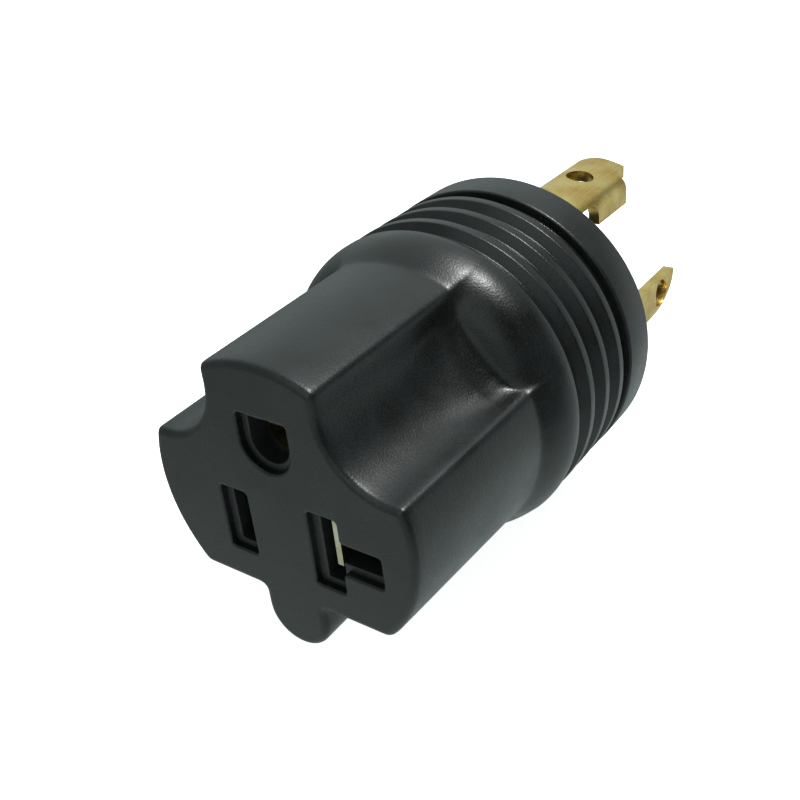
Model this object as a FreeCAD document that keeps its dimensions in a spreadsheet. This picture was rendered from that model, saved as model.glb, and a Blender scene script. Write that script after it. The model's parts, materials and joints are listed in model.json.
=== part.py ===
import FreeCAD, Part
import Sketcher
import math
import os

# Frame: the plug axis runs along Y, the plug seating face is the plane y = 0 with the blades on +Y,
# the socket face looks along -Y and the ground opening is on +Z. All sizes are millimetres.

SIZES = {
    # outer body
    "body_len": 51.8,
    "face_rad": 18.3,
    "lobe_rad": 19.2,
    "scallop_rad": 8.3,
    "scallop_shrink": 0.4,
    "scallop_x": 16.05,
    "scallop_z": 14.4,
    "notch_z": 12.3,
    "chin_half": 4.4,
    "chin_end": 19.4,
    "corner_round": 1.1,
    "edge_round": 0.85,
    "dome_rad": 20.75,
    "dome_back": 20.3,
    "dome_straight": 1.0,
    "dome_round": 6.0,
    "dome_hollow": 4.0,
    "floor_rad": 13.4,
    "groove_rad": 19.5,
    "ridge_len": 2.1,
    "ridge_pitch": 4.13,
    "ridge_slope": 0.8,
    "collar_len": 5.9,
    "collar_rad": 20.85,
    "wall_face": 0.9,
    # socket openings
    "slot_half_pitch": 6.35,
    "slot_line": 3.3,
    "slot_wide": 4.05,
    "hot_high": 8.7,
    "neutral_high": 9.9,
    "stem_end": 13.85,
    "stem_high": 4.15,
    "ground_rise": 11.9,
    "ground_wide": 7.0,
    "ground_top": 3.35,
    "slot_corner": 0.5,
    "hot_slot_in": 1.15,
    "hot_slot_out": 0.95,
    "neutral_slot_in": 0.85,
    "neutral_slot_out": 1.6,
    "step_high": 0.8,
    "stem_slot": 2.4,
    "pin_slot_rad": 2.65,
    # contact block and its cover
    "block_side": 10.7,
    "block_low": 10.0,
    "block_step": 3.5,
    "block_top": 14.3,
    "block_top_half": 5.7,
    "block_len": 22.1,
    "block_front": 2.6,
    "block_wall": 1.0,
    "stem_side": 15.1,
    "chamber_half": 2.95,
    "chamber_low": 8.6,
    "chamber_top": 2.1,
    "cover_len": 1.8,
    # contacts
    "metal": 0.8,
    "leaf_metal": 0.5,
    "base_len": 2.4,
    "base_rim": 0.3,
    "leaf_off": 1.3,
    "nose_off": 0.85,
    "flare_off": 1.55,
    "leaf_high": 6.4,
    "hinge_rad": 0.7,
    "hinge_fit": 0.04,
    "hinge_in": 0.4,
    "hinge_seat_over": 1.5,
    "leaf_straight": 8.6,
    "leaf_nose": 12.6,
    "leaf_tip": 15.0,
    "plate_front": 1.0,
    "plate_off": 0.6,
    "plate_low": 1.9,
    "plate_gap": 0.1,
    "pin_rad": 2.45,
    "cup_front": 3.6,
    "cup_rise": 0.4,
    "pin_hinge_up": 0.3,
    "pin_nose_in": 0.1,
    "pin_flare_up": 0.5,
    "pin_web_over": 0.9,
    "pin_leaf_share": 0.6,
    "barrel_rad": 1.8,
    "barrel_len": 4.3,
    "barrel_bite": 0.8,
    # leads
    "wire_rad": 1.15,
    "sleeve_rad": 1.75,
    "lead_grip": 3.2,
    "lead_straight": 0.4,
    # blades
    "blade_rad": 15.97,
    "blade_metal": 1.6,
    "blade_len": 21.2,
    "blade_top": 2.05,
    "blade_low": 2.9,
    "tip_rad": 7.5,
    "tip_up": 4.66,
    "hole_rad": 2.0,
    "hole_at": 15.8,
    "blade_tail": 11.5,
    "terminal_len": 4.2,
    "terminal_lap": 1.2,
    "terminal_rad": 13.1,
    "gnd_left": 0.5,
    "gnd_leg_x": 7.6,
    "gnd_leg_low": 10.6,
    "gnd_len": 25.4,
    "gnd_leg_len": 21.9,
    "gnd_bend": 2.0,
    "gnd_tip_round": 3.0,
    "gnd_hole_x": 2.44,
    "gnd_hole_at": 17.0,
    "gnd_hook_back": 3.4,
    "gnd_hook_front": 12.6,
    "gnd_hook_top": 13.9,
    "gnd_hook_round": 2.4,
    "gnd_hook_in": 0.6,
    "gnd_lead_x": 2.2,
    # carrier and inner mould
    "carrier_rim": 2.23,
    "carrier_len": 5.0,
    "mould_rad": 17.1,
    "mould_front": 12.6,
    "mould_cone": 8.0,
}

doc = FreeCAD.newDocument("adapter")
sheet = doc.addObject("Spreadsheet::Sheet", "Sizes")
for row, (alias, size) in enumerate(SIZES.items(), start=1):
    sheet.set("A%d" % row, alias)
    sheet.set("B%d" % row, str(size))
    sheet.setAlias("B%d" % row, alias)
doc.recompute()


class Dim:
    """A size with the sheet expression that gives it."""

    def __init__(self, value, text):
        self.value = value
        self.text = text

    @staticmethod
    def of(other):
        if isinstance(other, Dim):
            return other
        return Dim(float(other), "%.9g" % other)

    def _join(self, other, sign, value):
        return Dim(value, "(%s %s %s)" % (self.text, sign, Dim.of(other).text))

    def __add__(self, other):
        return self._join(other, "+", self.value + Dim.of(other).value)

    def __sub__(self, other):
        return self._join(other, "-", self.value - Dim.of(other).value)

    def __mul__(self, other):
        return self._join(other, "*", self.value * Dim.of(other).value)

    def __truediv__(self, other):
        return self._join(other, "/", self.value / Dim.of(other).value)

    def __neg__(self):
        return Dim(-self.value, "(0 - %s)" % self.text)

    def __radd__(self, other):
        return Dim.of(other) + self

    def __rsub__(self, other):
        return Dim.of(other) - self

    def __rmul__(self, other):
        return Dim.of(other) * self


def size(alias):
    """The named size of the sheet."""
    return Dim(float(sheet.get(alias)), "Sizes.%s" % alias)


def root(dim):
    """Square root of a size."""
    return Dim(math.sqrt(dim.value), "sqrt(%s)" % dim.text)


def bind(obj, prop, dim):
    """Set one property from a size and keep it bound to the sheet."""
    obj.setExpression(prop, Dim.of(dim).text)


def place(obj, x, y, z, rotation=None):
    """Put a primitive at a bound position."""
    if rotation is not None:
        obj.Placement = FreeCAD.Placement(FreeCAD.Vector(0, 0, 0), rotation)
    for axis, dim in zip("xyz", (x, y, z)):
        bind(obj, "Placement.Base.%s" % axis, dim)


ALONG_Y = FreeCAD.Rotation(FreeCAD.Vector(1, 0, 0), -90)
ALONG_X = FreeCAD.Rotation(FreeCAD.Vector(0, 1, 0), 90)
ALONG_Z = FreeCAD.Rotation()


def box(x0, x1, y0, y1, z0, z1):
    """A box between two corners."""
    obj = doc.addObject("Part::Box", "Box")
    x0, x1, y0, y1, z0, z1 = (Dim.of(dim) for dim in (x0, x1, y0, y1, z0, z1))
    bind(obj, "Length", x1 - x0)
    bind(obj, "Width", y1 - y0)
    bind(obj, "Height", z1 - z0)
    place(obj, x0, y0, z0)
    return obj


def rod(radius, length, x, y, z, rotation=ALONG_Y):
    """A cylinder that starts at a point and runs along an axis."""
    obj = doc.addObject("Part::Cylinder", "Rod")
    bind(obj, "Radius", radius)
    bind(obj, "Height", length)
    place(obj, x, y, z, rotation)
    return obj


def cone(radius0, radius1, length, x, y, z):
    """A cone frustum along Y."""
    obj = doc.addObject("Part::Cone", "Frustum")
    bind(obj, "Radius1", radius0)
    bind(obj, "Radius2", radius1)
    bind(obj, "Height", length)
    place(obj, x, y, z, ALONG_Y)
    return obj


def fuse(*shapes):
    """Join shapes into one solid."""
    obj = doc.addObject("Part::MultiFuse", "Join")
    obj.Shapes = list(shapes)
    obj.Refine = True
    return obj


def cut(base, *tools):
    """Take tools away from a base shape."""
    for tool in tools:
        obj = doc.addObject("Part::Cut", "Cut")
        obj.Base = base
        obj.Tool = tool
        obj.Refine = True
        base = obj
    return base


def common(base, tool):
    """What two shapes share."""
    obj = doc.addObject("Part::MultiCommon", "Common")
    obj.Shapes = [base, tool]
    return obj


def name(obj, label):
    """Give a sub-part its name."""
    obj.Label = label
    PARTS.append(obj)
    return obj


def round_edges(base, radius, wanted):
    """Round the edges that a test on their middle and ends picks out."""
    doc.recompute()
    picked = []
    for number, edge in enumerate(base.Shape.Edges, start=1):
        if wanted(edge):
            picked.append((number, radius.value, radius.value))
    obj = doc.addObject("Part::Fillet", "Round")
    obj.Base = base
    obj.Edges = picked
    doc.recompute()
    if obj.Shape.isNull() or not obj.Shape.isValid():
        raise RuntimeError("edges could not be rounded on %s" % base.Name)
    return obj


def sketch(points, rotation, shift=(0, 0, 0), closed=True):
    """A sketch whose corners and arc radii are bound to the sheet.

    Each entry is (x, y) for a straight side or (x, y, radius, bulge) for an arc that ends there,
    with bulge +1 for an arc whose centre is on the left of the way travelled.
    """
    obj = doc.addObject("Sketcher::SketchObject", "Profile")
    place(obj, shift[0], shift[1], shift[2], rotation)
    ends = [(Dim.of(entry[0]), Dim.of(entry[1])) for entry in points]
    count = len(points)
    sides = range(count) if closed else range(1, count)
    geometry = {}
    for index in sides:
        start = ends[index - 1]
        stop = ends[index]
        first = FreeCAD.Vector(start[0].value, start[1].value, 0)
        last = FreeCAD.Vector(stop[0].value, stop[1].value, 0)
        if len(points[index]) == 2:
            geometry[index] = obj.addGeometry(Part.LineSegment(first, last), False)
            continue
        radius, bulge = Dim.of(points[index][2]), points[index][3]
        half = (last - first) * 0.5
        side = FreeCAD.Vector(-half.y, half.x, 0).normalize() * bulge
        drop = math.sqrt(max(radius.value ** 2 - half.Length ** 2, 0.0))
        centre = first + half + side * drop
        middle = centre - side * radius.value
        geometry[index] = obj.addGeometry(Part.Arc(first, middle, last), False)
    starts = {}
    for index in sides:
        geo = geometry[index]
        forward = 1
        if len(points[index]) == 4 and points[index][3] < 0:
            forward = 2
        starts[index] = (geo, forward, 3 - forward)
    for index in sides:
        after = index + 1
        if after == count:
            after = 0
        if after not in starts:
            continue
        here, there = starts[index], starts[after]
        obj.addConstraint(Sketcher.Constraint("Coincident", here[0], here[2], there[0], there[1]))
    for index in sides:
        geo, _first, last = starts[index]
        fix_point(obj, geo, last, ends[index])
        if len(points[index]) == 4:
            number = obj.addConstraint(Sketcher.Constraint("Radius", geo, Dim.of(points[index][2]).value))
            bind(obj, "Constraints[%d]" % number, points[index][2])
    if not closed:
        geo, first, _last = starts[1]
        fix_point(obj, geo, first, ends[0])
    return obj


def fix_point(obj, geo, point, spot):
    """Hold one sketch point at bound distances from the sketch origin."""
    for kind, dim in (("DistanceX", spot[0]), ("DistanceY", spot[1])):
        number = obj.addConstraint(Sketcher.Constraint(kind, -1, 1, geo, point, dim.value))
        bind(obj, "Constraints[%d]" % number, dim)


def extrude(profile, direction, length):
    """Pull a closed sketch along a direction."""
    obj = doc.addObject("Part::Extrusion", "Pull")
    obj.Base = profile
    obj.DirMode = "Custom"
    obj.Dir = direction
    obj.Solid = True
    bind(obj, "LengthFwd", length)
    return obj


def sweep(radius, spine, x, y, z):
    """A round bar along a spine that starts along +Y at a point."""
    ring = doc.addObject("Part::Circle", "Ring")
    bind(ring, "Radius", radius)
    place(ring, x, y, z, ALONG_Y)
    doc.recompute()
    obj = doc.addObject("Part::Sweep", "Bar")
    obj.Sections = [ring]
    obj.Spine = (spine, ["Edge%d" % (number + 1) for number in range(len(spine.Shape.Edges))])
    obj.Solid = True
    obj.Frenet = False
    return obj


PARTS = []
FACE = -size("body_len")
SLOT_Z = -size("slot_line")
PIN_Z = size("ground_rise") - size("slot_line")
CORE = FACE + size("wall_face")
BLOCK_BACK = CORE + size("block_len")
ROOM = CORE + size("block_front")
COVER_BACK = BLOCK_BACK + size("cover_len")
BASE_FRONT = BLOCK_BACK - size("base_len")
HINGE_Y = BASE_FRONT + size("hinge_in")
BASE_HALF = size("leaf_off") + size("hinge_rad") + size("base_rim")
CARRIER_RAD = size("blade_rad") + size("carrier_rim")

# FAR is longer than the part, for tools that run right through it. OVER is how far a tool passes a surface.
# NEAR is the slack in tests on edges. INSIDE starts a tool above the axis, clear of the ring's other half.
FAR = Dim.of(60.0)
OVER = 1.0
NEAR = 0.05
INSIDE = 5.0

UPRIGHT = FreeCAD.Rotation(FreeCAD.Vector(1, 0, 0), 90)
FLAT = FreeCAD.Rotation()


def outline(radius, scallop, y):
    """The four-lobed section of the front part at one place along the axis."""
    low = -size("notch_z")
    reach = root(radius * radius - size("notch_z") * size("notch_z"))
    shelf = size("scallop_z") - scallop
    shelf_end = root(radius * radius - shelf * shelf)
    top_half = size("scallop_x") - scallop
    top_z = root(radius * radius - top_half * top_half)
    chin = size("chin_half")
    chin_z = chin - size("chin_end")
    right = [
        (chin, chin_z, chin, 1),
        (chin, low),
        (reach, low),
        (shelf_end, shelf, radius, 1),
        (size("scallop_x"), shelf),
        (top_half, size("scallop_z"), scallop, -1),
        (top_half, top_z),
    ]
    left = [
        (-top_half, top_z, radius, 1),
        (-top_half, size("scallop_z")),
        (-size("scallop_x"), shelf, scallop, -1),
        (-shelf_end, shelf),
        (-reach, low, radius, 1),
        (-chin, low),
        (-chin, chin_z),
        (0, -size("chin_end"), chin, 1),
    ]
    return sketch(right + left, UPRIGHT, (0, y, 0))


def lobed_front():
    """The tapering four-lobed front of the body with its rounded corners and face edge."""
    back = -size("dome_back") - size("dome_straight")
    loft = doc.addObject("Part::Loft", "Lobes")
    loft.Sections = [
        outline(size("face_rad"), size("scallop_rad"), FACE),
        outline(size("lobe_rad"), size("scallop_rad") - size("scallop_shrink"), back),
    ]
    loft.Solid = True
    loft.Ruled = True
    corner = size("corner_round")

    def is_corner(edge):
        ends = [vertex.Point for vertex in edge.Vertexes]
        if len(ends) < 2 or abs(ends[0].y - ends[1].y) < OVER:
            return False
        spot = min(ends, key=lambda point: point.y)
        off = math.hypot(spot.x, spot.z)
        return abs(off - size("face_rad").value) < NEAR and abs(spot.x) > OVER

    loft = round_edges(loft, corner, is_corner)

    def is_face_rim(edge):
        return edge.BoundBox.YMax < FACE.value + NEAR

    return round_edges(loft, size("edge_round"), is_face_rim)


def turned_rear():
    """The dome, the ridges and the end collar as one turned profile."""
    ridge_top = size("dome_rad")
    groove = size("groove_rad")
    shoulder = -size("dome_back") - size("dome_straight")
    both = size("dome_round") + size("dome_hollow")
    bend = (ridge_top - size("floor_rad")) / both
    swing = root(bend * 2 - bend * bend)
    dome_x = ridge_top - size("dome_round") * bend
    points = [
        (0, 0),
        (size("collar_rad"), 0),
        (size("collar_rad"), -size("collar_len")),
        (groove, -size("collar_len")),
    ]
    for count in (3, 2, 1):
        rear = size("ridge_pitch") * count - size("dome_back")
        points += [
            (groove, rear),
            (ridge_top, rear),
            (ridge_top, rear - size("ridge_len") + size("ridge_slope")),
            (groove, rear - size("ridge_len")),
        ]
    points += [
        (groove, -size("dome_back")),
        (ridge_top, -size("dome_back")),
        (ridge_top, shoulder),
        (dome_x, shoulder - size("dome_round") * swing, size("dome_round"), -1),
        (size("floor_rad"), shoulder - both * swing, size("dome_hollow"), 1),
        (0, shoulder - both * swing),
    ]
    turned = doc.addObject("Part::Revolution", "Turned")
    turned.Source = sketch(points, FLAT)
    turned.Axis = FreeCAD.Vector(0, 1, 0)
    turned.Base = FreeCAD.Vector(0, 0, 0)
    turned.Angle = 360
    turned.Solid = True
    return turned


def face_openings(start, stop):
    """Tools for the three openings in the body's face between two places along the axis."""
    half = size("slot_wide") / 2
    pitch = size("slot_half_pitch")
    hot = size("hot_high") / 2
    neutral = size("neutral_high") / 2
    stem = size("stem_high") / 2
    wide = size("ground_wide") / 2
    return [
        box(-pitch - half, half - pitch, start, stop, SLOT_Z - hot, SLOT_Z + hot),
        box(pitch - half, pitch + half, start, stop, SLOT_Z - neutral, SLOT_Z + neutral),
        box(pitch, size("stem_end"), start, stop, SLOT_Z - stem, SLOT_Z + stem),
        box(-wide, wide, start, stop, PIN_Z, PIN_Z + size("ground_top")),
        rod(wide, stop - start, 0, start, PIN_Z),
    ]


def block_solid(start, stop):
    """The outside of the contact block between two places along the axis."""
    side = size("block_side")
    top = size("block_top_half")
    stem = size("stem_high") / 2 + size("block_wall") * 2
    return fuse(
        box(-side, side, start, stop, -size("block_low"), size("block_step")),
        box(-top, top, start, stop, -size("block_low"), size("block_top")),
        box(0, size("stem_side"), start, stop, SLOT_Z - stem, SLOT_Z + stem),
    )


def front_slots():
    """Tools for the narrow slots in the front plate of the block."""
    pitch = size("slot_half_pitch")
    hot = size("hot_high") / 2 - size("step_high")
    neutral = size("neutral_high") / 2 - size("step_high")
    stem = size("stem_slot") / 2
    wide = size("pin_slot_rad")
    start = CORE - OVER
    stop = ROOM + OVER
    return [
        box(-pitch - size("hot_slot_out"), size("hot_slot_in") - pitch, start, stop,
            SLOT_Z - hot, SLOT_Z + hot),
        box(pitch - size("neutral_slot_in"), pitch + size("neutral_slot_out"), start, stop,
            SLOT_Z - neutral, SLOT_Z + neutral),
        box(pitch, size("stem_end") - size("step_high"), start, stop, SLOT_Z - stem, SLOT_Z + stem),
        box(-wide, wide, start, stop, PIN_Z, PIN_Z + size("ground_top") - size("step_high")),
        rod(wide, stop - start, 0, start, PIN_Z),
    ]


def chambers():
    """Tools for the contact rooms that open at the back of the block."""
    half = size("chamber_half")
    pitch = size("slot_half_pitch")
    low = -size("chamber_low")
    top = size("chamber_top")
    stem = size("stem_high") / 2 + size("block_wall") / 2
    wide = size("block_top_half") - size("block_wall")
    return [
        box(-pitch - half, half - pitch, ROOM, BLOCK_BACK, low, top),
        box(pitch - half, pitch + half, ROOM, BLOCK_BACK, low, top),
        box(pitch, size("stem_side") - size("block_wall"), ROOM, BLOCK_BACK,
            SLOT_Z - stem, SLOT_Z + stem),
        box(-wide, wide, ROOM, BLOCK_BACK, size("block_step") + size("block_wall"),
            size("block_top") - size("block_wall")),
    ]


def mould_solid():
    """The outside of the inner mould that fills the space between block cover and blade carrier."""
    length = -size("carrier_len") - COVER_BACK - size("mould_cone")
    return fuse(
        cone(size("mould_front"), size("mould_rad"), size("mould_cone"), 0, COVER_BACK, 0),
        rod(size("mould_rad"), length, 0, COVER_BACK + size("mould_cone"), 0),
    )


def jacket():
    """The moulded outer body with its three openings and the space its core fills."""
    body = fuse(lobed_front(), turned_rear())
    openings = fuse(*face_openings(FACE - OVER, CORE + OVER))
    doc.recompute()

    def runs_along(edge):
        ends = [vertex.Point for vertex in edge.Vertexes]
        if len(ends) != 2 or math.hypot(ends[0].x - ends[1].x, ends[0].z - ends[1].z) > NEAR:
            return False
        beside_pin = abs(abs(ends[0].x) - size("ground_wide").value / 2) < NEAR
        return not (beside_pin and abs(ends[0].z - PIN_Z.value) < NEAR)

    openings = round_edges(openings, size("slot_corner"), runs_along)
    return cut(body, openings, block_solid(CORE, COVER_BACK), mould_solid(),
               rod(CARRIER_RAD, size("carrier_len"), 0, -size("carrier_len"), 0))


# Where the three circuits start at the socket end and finish at the blades.
HOT_X = -size("slot_half_pitch")
NEUTRAL_X = size("slot_half_pitch")
BARREL_FRONT = BLOCK_BACK
BARREL_BACK = BLOCK_BACK + size("barrel_len")
TERMINAL_FRONT = -size("blade_tail") - size("terminal_len") + size("terminal_lap")
GND_LEAD_Z = root(size("terminal_rad") * size("terminal_rad") - size("gnd_lead_x") * size("gnd_lead_x"))


def contact_base(x, z, half, low, high, grooves):
    """The web of one contact: a plate across its room, its crimp barrel and the seats of its leaves."""
    web = box(x - half, x + half, BASE_FRONT, BLOCK_BACK, low, high)
    barrel = rod(size("barrel_rad"), size("barrel_len"), x, BARREL_FRONT, z)
    bore = rod(size("wire_rad"), size("barrel_len") + OVER, x, BLOCK_BACK - size("barrel_bite"), z)
    body = cut(fuse(web, barrel), bore)
    return cut(body, *grooves)


def hinge_seat(x, low, high):
    """The groove that holds the rolled root of one upright leaf."""
    return rod(size("hinge_rad") + size("hinge_fit"), high - low, x, HINGE_Y, low, ALONG_Z)


def upright_leaf(x, side, low, high):
    """A spring leaf that stands beside a blade: rolled root, straight shank, nose and flared tip."""
    half = size("leaf_metal") / 2
    stations = [
        (Dim.of(0), size("leaf_off")),
        (size("leaf_straight"), size("leaf_off")),
        (size("leaf_nose"), size("nose_off")),
        (size("leaf_tip"), size("flare_off")),
    ]
    outer = [(x + (off + half) * side, HINGE_Y - along) for along, off in stations]
    inner = [(x + (off - half) * side, HINGE_Y - along) for along, off in reversed(stations)]
    strip = extrude(sketch(outer + inner, FLAT, (0, 0, low)), FreeCAD.Vector(0, 0, 1), high - low)
    curl = rod(size("hinge_rad"), high - low, x + size("leaf_off") * side, HINGE_Y, low, ALONG_Z)
    return fuse(strip, curl)


def hot_circuit():
    """Contact of the narrow opening: its base and two facing leaves."""
    low = SLOT_Z - size("leaf_high") / 2
    high = SLOT_Z + size("leaf_high") / 2
    over = size("hinge_seat_over")
    seats = [hinge_seat(HOT_X + size("leaf_off") * side, low - over, high + over) for side in (1, -1)]
    name(contact_base(HOT_X, SLOT_Z, BASE_HALF, low, high, seats), "hot_contact")
    name(upright_leaf(HOT_X, 1, low, high), "hot_leaf_inner")
    name(upright_leaf(HOT_X, -1, low, high), "hot_leaf_outer")


def neutral_circuit():
    """Contact of the T opening: a fixed plate reaching to the face and one moving leaf."""
    low = SLOT_Z - size("leaf_high") / 2
    high = SLOT_Z + size("leaf_high") / 2
    plate_x = NEUTRAL_X + size("plate_off")
    over = size("hinge_seat_over")
    top = SLOT_Z + size("neutral_high") / 2 - size("step_high") - size("plate_gap")
    seat = hinge_seat(NEUTRAL_X - size("leaf_off"), low - over, high + over)
    base = contact_base(NEUTRAL_X, SLOT_Z, BASE_HALF, low, high, [seat])
    plate = box(plate_x, plate_x + size("metal"), FACE + size("plate_front"), BLOCK_BACK,
                SLOT_Z - size("plate_low"), top)
    name(fuse(base, plate), "neutral_contact")
    name(upright_leaf(NEUTRAL_X, -1, low, high), "neutral_leaf")


def ground_circuit():
    """Contact of the ground opening: a cup under the pin and a leaf over it."""
    pin = size("pin_rad")
    outer = pin + size("metal")
    front = FACE + size("cup_front")
    cup = cut(rod(outer, BLOCK_BACK - front, 0, front, PIN_Z),
              rod(pin, BLOCK_BACK - front + OVER * 2, 0, front - OVER, PIN_Z),
              box(-outer * 2, outer * 2, front - OVER, BLOCK_BACK + OVER,
                  PIN_Z + size("cup_rise"), PIN_Z + outer + OVER))
    half = BASE_HALF
    top = PIN_Z + pin + size("hinge_rad") + size("pin_web_over")
    web = box(-half, half, BASE_FRONT, BLOCK_BACK, PIN_Z - half, top)
    barrel = rod(size("barrel_rad"), size("barrel_len"), 0, BARREL_FRONT, PIN_Z)
    bore = rod(size("wire_rad"), size("barrel_len") + OVER, 0, BLOCK_BACK - size("barrel_bite"), PIN_Z)
    hinge_z = PIN_Z + pin + size("pin_hinge_up")
    seat = rod(size("hinge_rad") + size("hinge_fit"), half * 2 + OVER * 2, -half - OVER,
               HINGE_Y, hinge_z, ALONG_X)
    name(cut(fuse(cup, web, barrel), bore, seat), "ground_contact")
    thick = size("leaf_metal") / 2
    stations = [
        (Dim.of(0), hinge_z),
        (size("leaf_straight"), hinge_z),
        (size("leaf_nose"), PIN_Z + pin - size("pin_nose_in")),
        (size("leaf_tip"), PIN_Z + pin + size("pin_flare_up")),
    ]
    upper = [(HINGE_Y - along, rise + thick) for along, rise in stations]
    lower = [(HINGE_Y - along, rise - thick) for along, rise in reversed(stations)]
    sideways = FreeCAD.Rotation(FreeCAD.Vector(1, 1, 1), 120)
    wide = size("leaf_high") * size("pin_leaf_share")
    strip = extrude(sketch(upper + lower, sideways, (-wide / 2, 0, 0)), FreeCAD.Vector(1, 0, 0), wide)
    curl = rod(size("hinge_rad"), wide, -wide / 2, HINGE_Y, hinge_z, ALONG_X)
    name(fuse(strip, curl), "ground_leaf")


def ring_arc():
    """The ring all curved blades are cut from."""
    length = size("gnd_len") + size("blade_tail")
    outer = rod(size("blade_rad"), length, 0, -size("blade_tail"), 0)
    inner = rod(size("blade_rad") - size("blade_metal"), length + OVER * 2, 0,
                -size("blade_tail") - OVER, 0)
    return cut(outer, inner)


def terminal(body, x, z):
    """Add the crimp barrel of a blade tail."""
    barrel = rod(size("barrel_rad"), size("terminal_len"), x, TERMINAL_FRONT, z)
    bore = rod(size("wire_rad"), size("terminal_len") + OVER, x, TERMINAL_FRONT - OVER, z)
    return cut(fuse(body, barrel), bore)


def side_blade(side, label):
    """One curved current blade with its rounded tip, its hole and its crimped tail."""
    tip_from = size("blade_len") - size("tip_rad")
    low = -size("blade_low")
    x0, x1 = (OVER, FAR) if side > 0 else (-FAR, -OVER)
    strip = box(x0, x1, -size("blade_tail"), tip_from, low, size("blade_top"))
    tip = rod(size("tip_rad"), FAR * 2, -FAR, tip_from, size("tip_up"), ALONG_X)
    tip = common(tip, box(x0, x1, tip_from - OVER, FAR, low, size("blade_top")))
    blade = common(ring_arc(), fuse(strip, tip))
    hole = rod(size("hole_rad"), FAR, 0 if side > 0 else -FAR, size("hole_at"), 0, ALONG_X)
    blade = cut(blade, hole)
    x = size("terminal_rad") * side
    return name(terminal(blade, x, Dim.of(0)), label)


def corner_tool(x, y, radius):
    """What has to go to round the free tip corner of the ground blade."""
    square = box(x, x + radius, y - radius, y + OVER, INSIDE, FAR)
    return cut(square, rod(radius, FAR, x + radius, y - radius, INSIDE, ALONG_Z))


def hook_tool(leg_x):
    """What has to go from the lower edge of the ground blade's leg to leave its locking hook."""
    inner = leg_x - size("blade_metal") - size("gnd_hook_in")
    outer = leg_x + OVER
    back = size("gnd_hook_back")
    front = size("gnd_hook_front")
    top = size("gnd_hook_top")
    bend = size("gnd_hook_round")
    return fuse(
        box(inner, outer, back, front - bend, INSIDE, top),
        box(inner, outer, back, front, INSIDE, top - bend),
        rod(bend, outer - inner, inner, front - bend, top - bend, ALONG_X),
    )


def ground_blade():
    """The L-shaped ground blade: curved plate, bent leg with its locking hook, hole and tail."""
    left = -size("gnd_left")
    leg_x = size("gnd_leg_x")
    thick = size("blade_metal")
    rad = size("blade_rad")
    bend_z = root(rad * rad - leg_x * leg_x)
    plate = common(ring_arc(), box(left, leg_x, -size("blade_tail"), size("gnd_len"), INSIDE, FAR))
    leg = box(leg_x - thick, leg_x, -size("blade_tail"), size("gnd_len"), size("gnd_leg_low"), bend_z)
    blade = fuse(plate, leg)

    def is_bend(edge):
        spot = edge.CenterOfMass
        return abs(spot.x - leg_x.value) < NEAR and abs(spot.z - bend_z.value) < NEAR

    blade = round_edges(blade, size("gnd_bend"), is_bend)
    step = box(leg_x - size("gnd_bend"), leg_x + OVER, size("gnd_leg_len"), FAR, INSIDE, FAR)
    tail = box(leg_x - thick - size("gnd_hook_in"), leg_x + OVER, -FAR, -size("carrier_len"),
               INSIDE, size("gnd_hook_top"))
    corner = corner_tool(left, size("gnd_len"), size("gnd_tip_round"))
    hole = rod(size("hole_rad"), FAR, size("gnd_hole_x"), size("gnd_hole_at"), 0, ALONG_Z)
    blade = cut(blade, step, hook_tool(leg_x), tail, corner, hole)
    return name(terminal(blade, size("gnd_lead_x"), GND_LEAD_Z), "ground_blade")


def lead_spine(x0, z0, x1, z1):
    """The path of one lead from its socket barrel to its blade tail, bent with two equal arcs."""
    dx = x1 - x0
    dz = z1 - z0
    shift = root(dx * dx + dz * dz)
    start = BARREL_BACK - size("lead_grip")
    stop = TERMINAL_FRONT + size("lead_grip")
    first = size("lead_grip") + size("lead_straight")
    run = (stop - start) - first * 2
    radius = (run * run + shift * shift) / (shift * 4)
    points = [
        (0, 0),
        (first, 0),
        (first + run / 2, shift / 2, radius, 1),
        (first + run, shift, radius, -1),
        (first * 2 + run, shift),
    ]
    across = FreeCAD.Vector(dx.value, 0, dz.value).normalize()
    along = FreeCAD.Vector(0, 1, 0)
    turn = FreeCAD.Rotation(along, across, along.cross(across), "XYZ")
    return sketch(points, turn, (x0, start, z0), closed=False), start


def lead(circuit, x0, z0, x1, z1):
    """One internal lead: a copper core gripped by both barrels and its insulation between them."""
    spine, start = lead_spine(x0, z0, x1, z1)
    core = name(sweep(size("wire_rad"), spine, x0, start, z0), "%s_core" % circuit)
    bar = sweep(size("sleeve_rad"), spine, x0, start, z0)
    between = box(-FAR, FAR, BARREL_BACK, TERMINAL_FRONT, -FAR, FAR)
    name(cut(common(bar, between), core), "%s_sleeve" % circuit)


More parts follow.
